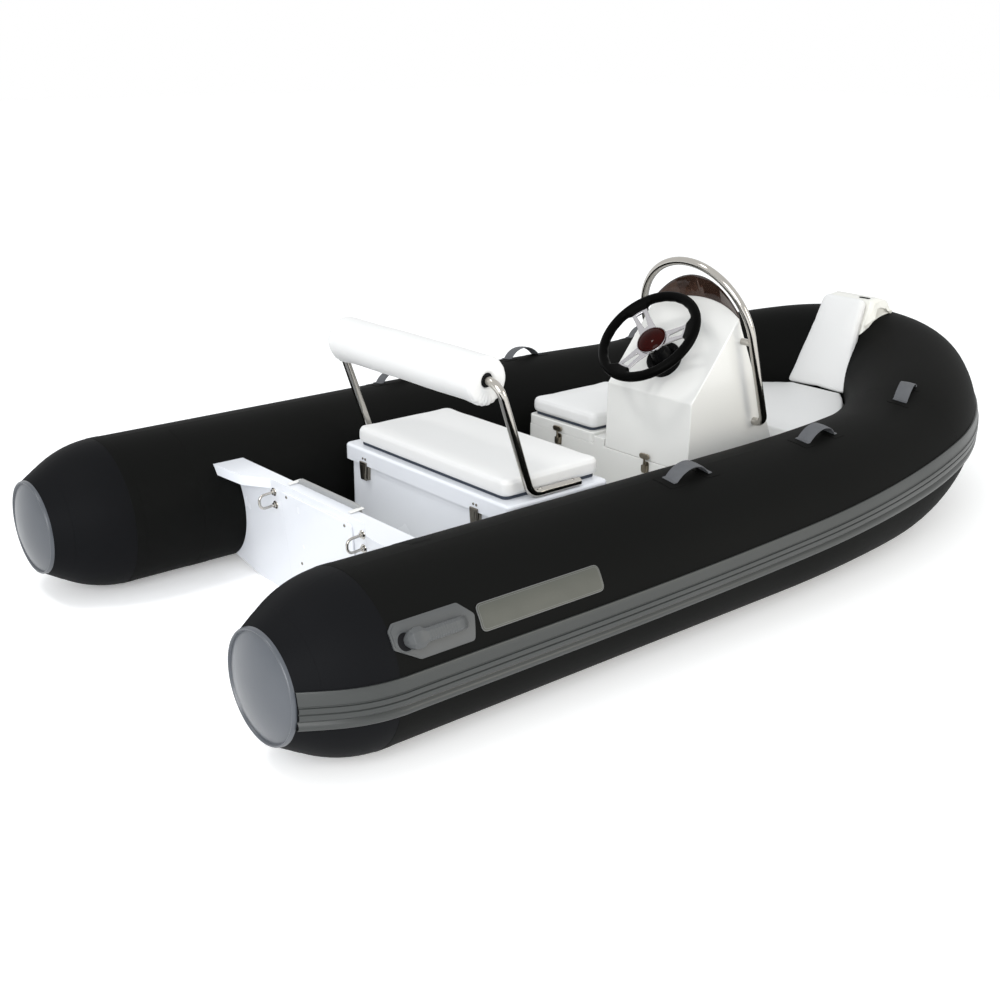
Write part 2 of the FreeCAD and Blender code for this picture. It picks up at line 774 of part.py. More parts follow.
# Windscreen: a strip of the same cylinder as the cowl, outside it, cut off upright above the shoulders.
screen_start = dash_outline(-screen_thickness - seat_gap, 0, 0).cut(dash_outline(-seat_gap, 1, 0))
screen_start.translate(front_down * -2 * screen_height)
screen = screen_start.extrude(front_down * (2 * screen_height + screen_lap))
shoulder_point = on_dash(0, dash_shoulder)
side_limit = console_half_width - 6
screen = screen.common(box(
    shoulder_point.x, 2000, console_centre - side_limit, console_centre + side_limit, shoulder_point.z - 60, 2000,
))
save("windscreen", screen)

# Console hinge at its foremost foot, on the bow deck.
cowl_top = on_dash(0, dash_shoulder + dash_arch_rise)
console_toe_x = cowl_top.x + (cowl_top.z - console_toe) * math.tan(front_lean)
console_hinge_x = console_toe_x + hinge_radius + hinge_play
console_hinge_z = bow_deck_height + hinge_radius + hinge_play
console_hinge_foot = tie_block(
    console_hinge_x, console_hinge_x + 3 * hinge_radius, bow_deck_height, console_hinge_z,
)
leaf_height = 6 * hinge_radius
leaf_lean = leaf_height * math.tan(front_lean)
console_hinge_leaf = [
    (console_toe_x - 40, console_hinge_z), (console_hinge_x, console_hinge_z),
    (console_hinge_x - leaf_lean, console_hinge_z + leaf_height),
    (console_toe_x - 40 - leaf_lean, console_hinge_z + leaf_height),
]
fixed, moving = hinge(console_centre, console_hinge_x, console_hinge_z, console_hinge_foot, console_hinge_leaf)
save("console_hinge", fixed)
save("console_knuckle", moving.cut(console_form))
console_latch, console_keeper = latch(console_latch_y, locker_aft, locker_seam_height, locker_aft)
save("console_latch", console_latch)
save("console_latch_keeper", console_keeper)

# ---------------------------------------------------------------- grab rail
# One bent tube that arches over the console. Its legs hook in to the console's sides at the foot, and a
# short stand-off holds each leg higher up.
rail_tilt = math.radians(rail_lean)
rail_up = Vector(-math.sin(rail_tilt), 0, math.cos(rail_tilt))
rail_foot = Vector(rail_foot_x, console_centre, rail_foot_height)
leg_length = (rail_spring_height - rail_foot_height) / math.cos(rail_tilt)


def on_rail(across, along_leg):
    return rail_foot + Vector(0, across, 0) + rail_up * along_leg


arch_edge = Part.Arc(
    on_rail(rail_half_width, leg_length), on_rail(0, leg_length + rail_half_width),
    on_rail(-rail_half_width, leg_length),
).toShape()
rail_pieces = []
arch_profile = Part.Face(Part.Wire(Part.makeCircle(rail_radius, on_rail(rail_half_width, leg_length), rail_up)))
arch_axis = on_rail(0, leg_length)
arch_normal = Vector(0, 1, 0).cross(rail_up)
rail_pieces.append(arch_profile.revolve(arch_axis, arch_normal, 180))
for side in (-1, 1):
    hook = bent_bar([
        on_rail(side * (console_half_width + seat_gap), 0), on_rail(side * rail_half_width, 0),
        on_rail(side * rail_half_width, leg_length),
    ], 24, rail_radius)
    rail_pieces.append(hook)
    standoff_start = on_rail(side * rail_half_width, rail_standoff_length)
    standoff_end = on_rail(side * (console_half_width + seat_gap), rail_standoff_length)
    rail_pieces.append(bar(standoff_start, standoff_end, 0.6 * rail_radius))
save("grab_rail", fuse(rail_pieces))

# ---------------------------------------------------------------- steering
# The wheel leans a little further back than the dash, so the bezel is a wedge whose top is square to
# the column. Everything here turns about the line square to the wheel through its centre.
wheel_tilt = math.radians(wheel_lean)
wheel_up = Vector(math.sin(wheel_tilt), 0, math.cos(wheel_tilt))
wheel_out = Vector(-math.cos(wheel_tilt), 0, math.sin(wheel_tilt))
wheel_centre = on_dash(0, wheel_along_dash, wheel_standoff)
column_length = wheel_standoff / math.cos(wheel_tilt - lean)


def on_column(out):
    return wheel_centre + wheel_out * (out - column_length)


under_dash = box(-2 * bezel_radius, 2 * bezel_radius, -2 * bezel_radius, 2 * bezel_radius, -2 * bezel_radius, 0)
dash_turn = FreeCAD.Rotation(Vector(0, -1, 0), dash_up, dash_out)
under_dash.Placement = FreeCAD.Placement(on_dash(0, wheel_along_dash, seat_gap), dash_turn)
bezel = bar(on_column(-bezel_radius), on_column(bezel_height), bezel_radius).cut(under_dash)
save("steering_bezel", bezel)
column_foot = on_column(bezel_height + seat_gap)
column_head = on_column(column_length - hub_depth / 2 - hinge_play)
column = fuse([
    bar(column_foot, column_head, column_radius), bar(column_foot, wheel_centre, shaft_radius),
])
save("steering_column", column)

rim_centre_radius = wheel_radius - wheel_rim_radius
spokes = []
for turn in (spoke_angle, spoke_angle + 120, spoke_angle + 240):
    spoke = box(
        -wheel_spoke_width / 2, wheel_spoke_width / 2, 0, rim_centre_radius,
        -spoke_thickness / 2, spoke_thickness / 2,
    )
    slot = box(
        -0.22 * wheel_spoke_width, 0.22 * wheel_spoke_width, wheel_hub_radius + 14, rim_centre_radius - 26,
        -spoke_thickness, spoke_thickness,
    )
    spoke = spoke.cut(round_edges(slot, 6, is_upright))
    spoke.rotate(Vector(0, 0, 0), Vector(0, 0, 1), turn)
    spokes.append(spoke)
spokes.append(bar(Vector(0, 0, -spoke_thickness / 2), Vector(0, 0, spoke_thickness / 2), wheel_hub_radius + 6))
shaft_bore = bar(Vector(0, 0, -hub_depth), Vector(0, 0, hub_depth), shaft_radius + pin_play)
spoke_plate = fuse(spokes).cut(shaft_bore)
rim = Part.makeTorus(rim_centre_radius, wheel_rim_radius)
rim = rim.cut(fuse(spokes))
hub_boss = bar(Vector(0, 0, -hub_depth / 2), Vector(0, 0, -spoke_thickness / 2 - seat_gap), column_radius)
hub_cap = bar(Vector(0, 0, spoke_thickness / 2 + seat_gap), Vector(0, 0, hub_depth / 2), wheel_hub_radius)
hub_cap = hub_cap.makeFillet(8, [edge for edge in hub_cap.Edges if edge.BoundBox.ZMin > hub_depth / 2 - 1])
wheel_turn = FreeCAD.Rotation(Vector(0, -1, 0), wheel_up, wheel_out)
steering_frame = FreeCAD.Placement(wheel_centre, wheel_turn)


def on_wheel(shape):
    moved = shape.copy()
    moved.Placement = steering_frame.multiply(moved.Placement)
    return moved


save("steering_wheel_rim", on_wheel(rim))
save("steering_wheel_spokes", on_wheel(spoke_plate))
save("steering_wheel_boss", on_wheel(hub_boss.cut(shaft_bore)))
save("steering_wheel_cap", on_wheel(hub_cap))

# ---------------------------------------------------------------- bow
def deck_wire(section):
    edge_y = edge_half_width(section)
    outline = [
        (edge_y, section["deck"]), (edge_y, bow_deck_height),
        (-edge_y, bow_deck_height), (-edge_y, section["deck"]),
    ]
    corners = [Vector(section["x"], y, z) for y, z in outline]
    return Part.makePolygon(corners + [corners[0]])


deck_form = Part.makeLoft([deck_wire(section) for section in hull_sections[1:]], True, True)
deck_form = deck_form.common(box(bow_deck_aft, 2000, -1000, 1000, -500, 1000))
save("bow_deck", clear_of_tubes(deck_form))


def gap_to_tubes(shape, gap):
    grown = tube_radius + gap
    port = port_side(grown, -1400)
    return shape.cut([port, mirrored(port), bow_loop(grown)])


back_pad_foot_x = nose_inner_x - back_pad_nose_gap
back_pad_top_x = back_pad_foot_x + back_pad_reach
bow_cushion = box(
    bow_cushion_aft, back_pad_foot_x + bow_cushion_lap, -480, 480,
    bow_deck_height + seat_gap, bow_deck_height + bow_cushion_thickness,
)
save("bow_cushion", gap_to_tubes(bow_cushion, bow_cushion_tube_gap))

pad_foot_z = bow_deck_height + bow_cushion_thickness + seat_gap
pad_slope = math.atan2(back_pad_top_x - back_pad_foot_x, back_pad_top - pad_foot_z)
pad_up = Vector(math.sin(pad_slope), 0, math.cos(pad_slope))
pad_back = Vector(math.cos(pad_slope), 0, -math.sin(pad_slope))
pad_length = (back_pad_top - pad_foot_z) / math.cos(pad_slope)
pad_base = Vector(back_pad_foot_x, 0, pad_foot_z)


def on_pad(across, along_pad):
    return pad_base + Vector(0, across, 0) + pad_up * along_pad


pad_corners = [
    on_pad(back_pad_foot_half_width, 0), on_pad(back_pad_top_half_width, pad_length),
    on_pad(-back_pad_top_half_width, pad_length), on_pad(-back_pad_foot_half_width, 0),
]
back_pad = Part.Face(Part.makePolygon(pad_corners + [pad_corners[0]])).extrude(pad_back * back_pad_thickness)
back_pad = back_pad.common(box(0, 3000, -500, 500, pad_foot_z, 3000))
save("bow_back_pad", gap_to_tubes(back_pad, 2))

step_foot = pad_base + pad_back * (back_pad_thickness + seat_gap) + pad_up * bow_step_foot_rise
step_top = step_foot + pad_up * (bow_step_aft_length)
bow_step = side_prism([(step_foot.x, step_foot.z), (step_top.x, step_top.z)] + bow_step_outline,
                      -bow_step_half_width, bow_step_half_width)
bow_step = round_edges(bow_step, 20, lambda edge: abs(edge.BoundBox.YLength) < 0.01 and edge.BoundBox.ZMax > 560)
save("bow_step", clear_of_tubes(bow_step))

# ---------------------------------------------------------------- fittings on the tubes
def tube_frame(distance, angle, height=0.0):
    """A frame on the tube's skin: x along the tube, y round it, z straight out. Angle 0 is outboard."""
    middle, heading, up = tube_station(distance)
    outboard = up.cross(heading) * -1
    if outboard.y < 0:
        outboard = outboard * -1
    turn = math.radians(angle)
    outward = outboard * math.cos(turn) + up * math.sin(turn)
    around = outward.cross(heading)
    turned = FreeCAD.Rotation(heading, around, outward)
    return FreeCAD.Placement(middle + outward * (tube_radius + height), turned)


def placed(shape, frame):
    moved = shape.copy()
    moved.Placement = frame.multiply(moved.Placement)
    return moved


def arched_band(length, foot, rise, thickness, width):
    """A band with flat feet at both ends and one arch between them, standing on the level z = 0."""
    half = length / 2
    spring = half - foot
    outer_rise = rise
    inner_rise = rise - thickness
    face = Part.Face(Part.Wire([
        Part.makeLine(Vector(-half, 0, -4), Vector(-half, 0, thickness)),
        Part.makeLine(Vector(-half, 0, thickness), Vector(-spring - thickness, 0, thickness)),
        Part.Arc(Vector(-spring - thickness, 0, thickness), Vector(0, 0, outer_rise),
                 Vector(spring + thickness, 0, thickness)).toShape(),
        Part.makeLine(Vector(spring + thickness, 0, thickness), Vector(half, 0, thickness)),
        Part.makeLine(Vector(half, 0, thickness), Vector(half, 0, -4)),
        Part.makeLine(Vector(half, 0, -4), Vector(spring, 0, -4)),
        Part.makeLine(Vector(spring, 0, -4), Vector(spring, 0, 0)),
        Part.Arc(Vector(spring, 0, 0), Vector(0, 0, inner_rise), Vector(-spring, 0, 0)).toShape(),
        Part.makeLine(Vector(-spring, 0, 0), Vector(-spring, 0, -4)),
        Part.makeLine(Vector(-spring, 0, -4), Vector(-half, 0, -4)),
    ]))
    return face.extrude(Vector(0, width, 0)).translated(Vector(0, -width / 2, 0))


strap = arched_band(strap_length, strap_foot, strap_rise, strap_thickness, strap_width)
port_straps = [clear_of_tubes(placed(strap, tube_frame(station, strap_angle))) for station in strap_stations]
save("grab_straps", pair(Part.makeCompound(port_straps)))


def skin_pad(x, angle, length, width, thickness, corner):
    """A pad that follows the tube's skin, with rounded corners."""
    axis_foot = Vector(x - length, tube_half_spacing, tube_axis_height)
    shell = Part.makeCylinder(tube_radius + seat_gap + thickness, 2 * length, axis_foot, Vector(1, 0, 0))
    shell = shell.cut(Part.makeCylinder(tube_radius + seat_gap, 2 * length, axis_foot, Vector(1, 0, 0)))
    block = round_edges(box(-length / 2, length / 2, -width / 2, width / 2, -80, 80), corner, is_upright)
    return shell.common(placed(block, tube_frame(x, angle)))


carry_pad = skin_pad(carry_x, carry_angle, carry_pad_length, carry_pad_width, carry_pad_thickness, 26)
save("carry_handle_pads", pair(carry_pad))
carry_frame = tube_frame(carry_x, carry_angle, seat_gap + carry_pad_thickness)
carry_band = arched_band(carry_bar_length, carry_bar_foot, carry_bar_rise, carry_bar_depth, carry_bar_width)
carry_bar = placed(carry_band, carry_frame)
pad_limit = Part.makeCylinder(
    tube_radius + carry_pad_thickness + 2 * seat_gap, 600,
    Vector(carry_x - 300, tube_half_spacing, tube_axis_height), Vector(1, 0, 0),
)
save("carry_handles", pair(carry_bar.cut(pad_limit)))
save("name_plates", pair(skin_pad(plate_x, plate_angle, plate_length, plate_width, plate_thickness, 8)))
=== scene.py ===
import bmesh
import bpy
import math
from mathutils import Matrix, Vector


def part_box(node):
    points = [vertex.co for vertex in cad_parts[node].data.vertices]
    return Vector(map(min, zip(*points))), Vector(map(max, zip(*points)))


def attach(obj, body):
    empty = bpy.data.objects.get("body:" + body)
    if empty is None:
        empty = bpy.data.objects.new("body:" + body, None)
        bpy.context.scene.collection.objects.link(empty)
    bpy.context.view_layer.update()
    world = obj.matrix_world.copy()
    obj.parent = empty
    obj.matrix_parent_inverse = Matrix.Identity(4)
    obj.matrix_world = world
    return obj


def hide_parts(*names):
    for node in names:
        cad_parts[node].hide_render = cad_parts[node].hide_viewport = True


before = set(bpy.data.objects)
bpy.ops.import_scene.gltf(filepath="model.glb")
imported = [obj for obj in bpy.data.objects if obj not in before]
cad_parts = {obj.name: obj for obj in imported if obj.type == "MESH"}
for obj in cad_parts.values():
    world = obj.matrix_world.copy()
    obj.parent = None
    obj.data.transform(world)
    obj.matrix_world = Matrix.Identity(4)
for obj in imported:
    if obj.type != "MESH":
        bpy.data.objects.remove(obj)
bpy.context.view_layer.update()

# ---------------------------------------------------------------- water level, camera and lamps
# A pale floor lies at the waterline, so the keel is under it as it is under water. A small lamp above the
# stern gives the shadows on the seats and dash. Wide lamps off the quarter and the side open the sides.


def let_go():
    """Leaves edit mode and deselects everything."""
    if bpy.context.object and bpy.context.object.mode != "OBJECT":
        bpy.ops.object.mode_set(mode="OBJECT")
    bpy.ops.object.select_all(action="DESELECT")


def add_node(tree, kind, inputs=(), **settings):
    """A new shader node with its own settings and some of its inputs filled in."""
    node = tree.nodes.new("ShaderNode" + kind)
    for setting, value in settings.items():
        setattr(node, setting, value)
    for name, value in dict(inputs).items():
        node.inputs[name].default_value = value
    return node


def seen_ray(tree):
    """One for the rays that show the background, from the camera, from metal and through glass."""
    rays = add_node(tree, "LightPath")
    seen = rays.outputs["Is Camera Ray"]
    for ray in ("Is Glossy Ray", "Is Transmission Ray"):
        either = add_node(tree, "Math", operation="MAXIMUM")
        tree.links.new(seen, either.inputs[0])
        tree.links.new(rays.outputs[ray], either.inputs[1])
        seen = either.outputs[0]
    return seen


let_go()
bpy.ops.mesh.primitive_plane_add(size=60, location=(0, 0, 0))
floor = bpy.context.object
floor.name = "floor"
floor_paint = bpy.data.materials.new("floor_paint")
floor_paint.use_nodes = True
floor_tree = floor_paint.node_tree
floor_shader = floor_tree.nodes["Principled BSDF"]
floor_shader.inputs["Roughness"].default_value = 0.9
floor_shader.inputs["Specular IOR Level"].default_value = 0.0
speckle = add_node(floor_tree, "TexNoise", {"Scale": 3})
tones = {"A": (0.98, 0.98, 0.98, 1), "B": (0.96, 0.96, 0.96, 1)}
tone = add_node(floor_tree, "Mix", tones, data_type="RGBA")
floor_glow = add_node(floor_tree, "Emission")
glow_strength = add_node(floor_tree, "Math", {1: 0.24}, operation="MULTIPLY")
lit_floor = add_node(floor_tree, "AddShader")
for start, end in (
    (speckle.outputs["Fac"], tone.inputs["Factor"]),
    (tone.outputs["Result"], floor_shader.inputs["Base Color"]),
    (seen_ray(floor_tree), glow_strength.inputs[0]),
    (glow_strength.outputs[0], floor_glow.inputs["Strength"]),
    (floor_shader.outputs[0], lit_floor.inputs[0]),
    (floor_glow.outputs[0], lit_floor.inputs[1]),
    (lit_floor.outputs[0], floor_tree.nodes["Material Output"].inputs["Surface"]),
):
    floor_tree.links.new(start, end)
floor.data.materials.append(floor_paint)

world = bpy.data.worlds.new("studio")
world.use_nodes = True
bpy.context.scene.world = world
world_tree = world.node_tree
sky = world_tree.nodes["Background"]
sky.inputs["Color"].default_value = (0.955, 0.98, 1.0, 1)
sky.inputs["Strength"].default_value = 0.88
plain_white = add_node(world_tree, "Background", {"Color": (1, 1, 1, 1), "Strength": 1.0})
sky_or_white = add_node(world_tree, "MixShader")
world_tree.links.new(seen_ray(world_tree), sky_or_white.inputs[0])
world_tree.links.new(sky.outputs[0], sky_or_white.inputs[1])
world_tree.links.new(plain_white.outputs[0], sky_or_white.inputs[2])
world_tree.links.new(sky_or_white.outputs[0], world_tree.nodes["World Output"].inputs["Surface"])


def lamp(name, place, aim, size, power, colour):
    light = bpy.data.lights.new(name, "AREA")
    light.shape = "DISK"
    light.size = size
    light.energy = power
    light.color = colour
    lit = bpy.data.objects.new(name, light)
    bpy.context.scene.collection.objects.link(lit)
    lit.location = place
    lit.rotation_euler = (Vector(aim) - Vector(place)).to_track_quat("-Z", "Y").to_euler()


lamp("stern_lamp", (-3.2, 0.8, 5.0), (0.0, 0.0, 0.4), 0.9, 44, (1.0, 0.985, 0.96))
lamp("quarter_lamp", (-4.6, -3.4, 2.4), (0.0, 0.0, 0.4), 3.6, 176, (0.985, 0.99, 1.0))
lamp("side_lamp", (2.2, -5.2, 1.7), (0.2, 0.0, 0.4), 2.6, 84, (1.0, 0.94, 0.82))

camera_data = bpy.data.cameras.new("camera")
camera_data.lens = 46.56
camera_data.sensor_width = 36
camera_data.shift_x = 0.0367
camera_data.shift_y = 0.0611
camera = bpy.data.objects.new("camera", camera_data)
camera.location = (-2.867, -2.838, 1.531)
camera.rotation_euler = (math.radians(67.85), math.radians(-0.11), math.radians(-39.13))
bpy.context.scene.collection.objects.link(camera)
bpy.context.scene.camera = camera
bpy.context.scene.view_settings.view_transform = "Standard"

# ---------------------------------------------------------------- buoyancy tubes
# The tubes are black coated fabric, cut and glued in lengths and blown up tight. A tape of the same
# fabric covers each seam, and another is glued in the corner with the transom. The stern cones are bluer.


def finish(name, light, dark, patch, rough, rough_spread, specular=0.5, coat=0.0, metal=0.0, grains=()):
    """A finish whose colour drifts between two tones in patches of the given size in metres, with its
    gloss drifting too. Each grain is (kind, size in metres, height in metres) and stands in relief."""
    material = bpy.data.materials.new(name)
    material.use_nodes = True
    tree = material.node_tree
    link = tree.links.new
    shader = tree.nodes["Principled BSDF"]
    place = add_node(tree, "TexCoord").outputs["Object"]
    drift = add_node(tree, "TexNoise", {"Scale": 1 / patch, "Detail": 4})
    link(place, drift.inputs["Vector"])
    colour = add_node(tree, "Mix", {"A": (*light, 1), "B": (*dark, 1)}, data_type="RGBA")
    link(drift.outputs["Fac"], colour.inputs["Factor"])
    link(colour.outputs["Result"], shader.inputs["Base Color"])
    spread = add_node(tree, "MapRange", {"To Min": rough - rough_spread, "To Max": rough + rough_spread})
    link(drift.outputs["Fac"], spread.inputs["Value"])
    link(spread.outputs["Result"], shader.inputs["Roughness"])
    shader.inputs["Specular IOR Level"].default_value = specular
    shader.inputs["Coat Weight"].default_value = coat
    shader.inputs["Metallic"].default_value = metal
    relief = None
    for kind, size, height in grains:
        if kind == "pebble":
            texture = add_node(tree, "TexVoronoi", {"Scale": 1 / size})
            level = texture.outputs["Distance"]
        elif kind == "weave":
            threads = [
                add_node(tree, "TexWave", {"Scale": 0.314 / size}, bands_direction=way) for way in ("X", "Z")
            ]
            crossing = add_node(tree, "Math", operation="ADD")
            for number, thread in enumerate(threads):
                link(place, thread.inputs["Vector"])
                link(thread.outputs["Fac"], crossing.inputs[number])
            texture, level = threads[0], crossing.outputs[0]
        else:
            texture = add_node(tree, "TexNoise", {"Scale": 1 / size, "Detail": 3})
            level = texture.outputs["Fac"]
        link(place, texture.inputs["Vector"])
        bump = add_node(tree, "Bump", {"Strength": 1.0, "Distance": height})
        link(level, bump.inputs["Height"])
        if relief:
            link(relief, bump.inputs["Normal"])
        relief = bump.outputs["Normal"]
    if relief:
        link(relief, shader.inputs["Normal"])
    return material


def coat(material, *nodes):
    """Gives a material to nodes that show just as the frame holds them."""
    for node in nodes:
        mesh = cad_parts[node].data
        mesh.materials.clear()
        mesh.materials.append(material)


def choose(piece):
    """Leaves one piece selected and active."""
    let_go()
    piece.select_set(True)
    bpy.context.view_layer.objects.active = piece


def worked(piece, kind, **settings):
    """Adds a modifier with its settings and applies it."""
    choose(piece)
    step = piece.modifiers.new("step", kind)
    for setting, value in settings.items():
        setattr(step, setting, value)
    bpy.ops.object.modifier_apply(modifier="step")
    return piece


def fit_out(piece, name, body, material, slot, replaced=(), smooth=35):
    """Names a finished piece, shades it, gives it its material and says what it rides on."""
    choose(piece)
    piece.name = name
    piece.data.name = name
    bpy.ops.object.transform_apply(location=True, rotation=True, scale=True)
    bpy.ops.object.shade_smooth_by_angle(angle=math.radians(smooth))
    if smooth < 90:
        worked(piece, "WEIGHTED_NORMAL", keep_sharp=True)
    piece.data.materials.clear()
    piece.data.materials.append(material)
    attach(piece, body)
    if replaced:
        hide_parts(*replaced)


def edit(piece, kind="VERT"):
    """Opens a piece in edit mode with nothing selected."""
    choose(piece)
    bpy.ops.object.mode_set(mode="EDIT")
    bpy.ops.mesh.select_mode(type=kind)
    bpy.ops.mesh.select_all(action="DESELECT")


def close_edit(piece, outward=True):
    """Merges what met, turns the faces outwards and leaves edit mode."""
    bpy.ops.mesh.select_mode(type="VERT")
    bpy.ops.mesh.select_all(action="SELECT")
    bpy.ops.mesh.remove_doubles(threshold=0.00002)
    if outward:
        bpy.ops.mesh.normals_make_consistent(inside=False)
    bpy.ops.object.mode_set(mode="OBJECT")
    return piece


def joined(pieces):
    choose(pieces[0])
    for piece in pieces[1:]:
        piece.select_set(True)
    if len(pieces) > 1:
        bpy.ops.object.join()
    return pieces[0]


def twin(piece, move):
    """A copy with its own mesh, moved, turned or mirrored by a matrix."""
    copy = bpy.data.objects.new(piece.name, piece.data.copy())
    bpy.context.scene.collection.objects.link(copy)
    copy.data.transform(move)
    if move.determinant() < 0:
        copy.data.flip_normals()
    return copy


def both_sides(piece, name, *looks, **more):
    """Fits out a port piece on the boat, and its mirror image to starboard."""
    other = twin(piece, Matrix.Scale(-1, 4, (0, 1, 0)))
    fit_out(piece, "port_" + name, "boat", *looks, **more)
    fit_out(other, "starboard_" + name, "boat", *looks, **more)


tube_radius = 0.220
tube_half_spacing = 0.630
tube_axis_height = 0.220
tube_straight_length = 1.400
shallow_bends = [(4.400, 7.5, 0.0), (1.250, 13.5, 50.0)]
shoulder_radius, shoulder_turn = 1.095, 27.8
cone_angle = math.radians(31.2)
cone_blend_radius = 0.320
cap_radius = 0.135
tube_bends = []


def add_bend(point, heading, inward, radius, turn):
    """Carries the port tube's axis on through a bend, and says where it ends and how it heads there."""
    bend = {
        "point": point, "heading": heading, "centre": point + inward * radius,
        "axis": heading.cross(inward), "turn": turn, "length": radius * turn,
    }
    tube_bends.append(bend)
    return part_way(bend, 1.0)


def part_way(bend, share):
    """The point and the heading at a share of the way round a bend."""
    swing = Matrix.Rotation(bend["turn"] * share, 3, bend["axis"])
    return bend["centre"] + swing @ (bend["point"] - bend["centre"]), swing @ bend["heading"]


def towards_middle(heading):
    starboard = Vector((0, -1, 0))
    return (starboard - heading * heading.dot(starboard)).normalized()


spot = Vector((0, tube_half_spacing, tube_axis_height))
heading = Vector((1, 0, 0))
for bend_radius, bend_turn, roll in shallow_bends:
    level = towards_middle(Vector((heading.x, heading.y, 0)).normalized())
    inward = level * math.cos(math.radians(roll)) + Vector((0, 0, 1)) * math.sin(math.radians(roll))
    inward = (inward - heading * heading.dot(inward)).normalized()
    spot, heading = add_bend(spot, heading, inward, bend_radius, math.radians(bend_turn))
shoulder_inward = towards_middle(heading)
spot, heading = add_bend(spot, heading, shoulder_inward, shoulder_radius, math.radians(shoulder_turn))
nose_inward = towards_middle(heading)
add_bend(spot, heading, nose_inward, -spot.y / nose_inward.y, heading.angle(Vector((0, -1, 0))))
tube_reach = sum(bend["length"] for bend in tube_bends)


def tube_section(distance):
    """Centre, heading, outboard and upward directions of the port tube, measured forward from amidships."""
    if distance <= 0:
        middle = Vector((distance, tube_half_spacing, tube_axis_height))
        return middle, Vector((1, 0, 0)), Vector((0, 1, 0)), Vector((0, 0, 1))
    left = distance
    for bend in tube_bends:
        if left <= bend["length"] or bend is tube_bends[-1]:
            middle, ahead = part_way(bend, left / bend["length"])
            above = (Vector((0, 0, 1)) - ahead * ahead.z).normalized()
            return middle, ahead, above.cross(ahead), above
        left -= bend["length"]


def skin_radius(distance):
    """The tube's radius, which is even forward and shrinks through a blend into a straight cone aft."""
    aft = -tube_straight_length - distance
    if aft <= 0:
        return tube_radius
    blend = cone_blend_radius * math.sin(cone_angle)
    if aft < blend:
        return tube_radius - cone_blend_radius + math.sqrt(cone_blend_radius ** 2 - aft ** 2)
    straight_loss = (aft - blend) * math.tan(cone_angle)
    return tube_radius - cone_blend_radius * (1 - math.cos(cone_angle)) - straight_loss


def on_tube(distance, turn, out=0.0):
    """A point on the port tube's skin. The turn is in degrees, from outboard up over the top."""
    middle, ahead, outboard, above = tube_section(distance)
    angle = math.radians(turn)
    return middle + (outboard * math.cos(angle) + above * math.sin(angle)) * (skin_radius(distance) + out)


def grid_piece(columns, rows, place):
    """A grid whose points are laid where place(column share, row share) says."""
    let_go()
    bpy.ops.mesh.primitive_grid_add(x_subdivisions=columns, y_subdivisions=rows, size=2)
    piece = bpy.context.object
    for point in piece.data.vertices:
        point.co = place((point.co.x + 1) / 2, (point.co.y + 1) / 2)
    return piece


def tape_round(aft, forward, low_turn, high_turn):
    """A thin glued tape round the tube between two distances and two turns, with pressed-down edges."""
    proud, sunk, lip = 0.0008, -0.001, 0.0012
    steps = [
        (aft, sunk), (aft, 0.0), (aft + lip, proud),
        (forward - lip, proud), (forward, 0.0), (forward, sunk),
    ]

    def place(across, around):
        distance, out = steps[round(across * 5)]
        turn = low_turn + (high_turn - low_turn) * around
        return on_tube(distance, turn, out)

    return grid_piece(5, max(8, round((high_turn - low_turn) / 4)), place)


black_fabric = finish(
    "black_coated_fabric", (0.0058, 0.0060, 0.0057), (0.0047, 0.0049, 0.0046), 0.5, 0.60, 0.05,
    specular=0.03, grains=[("noise", 0.05, 0.00012), ("weave", 0.0016, 0.00002)],
)
cone_fabric = finish(
    "cone_coated_fabric", (0.0062, 0.0065, 0.0074), (0.0051, 0.0054, 0.0062), 0.4, 0.57, 0.05,
    specular=0.04, grains=[("noise", 0.05, 0.00012), ("weave", 0.0016, 0.00002)],
)
coat(black_fabric, "port_tube", "starboard_tube", "bow_tube")
coat(cone_fabric, "stern_cones")

cap_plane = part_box("stern_cones")[0][0]
end_tape = (cap_plane + 0.001, cap_plane + 0.052)
seam_tape = (-1.416, -1.386)
transom_tape = (-1.200, -1.142)
tapes = {
    "cone_end_tape": ((*end_tape, 0, 360), cone_fabric, "cone_fabric"),
    "cone_seam_tape": ((*seam_tape, 0, 360), black_fabric, "tube_fabric"),
    "transom_tape": ((*transom_tape, 98, 262), black_fabric, "tube_fabric"),
}
for name, (reach, fabric, slot) in tapes.items():
    tape = tape_round(*reach)
    edit(tape)
    close_edit(tape, outward=False)
    both_sides(tape, name, fabric, slot)

# ---------------------------------------------------------------- rubbing strake
# One long grey rubber extrusion is glued round the tubes from stern to stern. It has a half-round bead at
# the bottom, a deep groove, two narrow ribs and a broad flat band at the top.
strake_top = 0.260
strake_bottom = 0.168
strake_level_end = -0.880
strake_sheer_radius = 26.0
strake_profile = [
    (0.000, -0.0010), (0.004, 0.0030), (0.030, 0.0068), (0.070, 0.0092), (0.120, 0.0100), (0.170, 0.0092),
    (0.210, 0.0062), (0.235, 0.0024), (0.255, 0.0014), (0.275, 0.0024), (0.300, 0.0060), (0.330, 0.0082),
    (0.400, 0.0088), (0.450, 0.0082), (0.468, 0.0048), (0.484, 0.0048), (0.500, 0.0080), (0.560, 0.0086),
    (0.615, 0.0080), (0.630, 0.0046), (0.642, 0.0046), (0.650, 0.0078), (0.660, 0.0082), (0.670, 0.0062),
    (0.700, 0.0056), (0.850, 0.0054), (0.970, 0.0050), (0.992, 0.0038), (1.000, -0.0010),
]


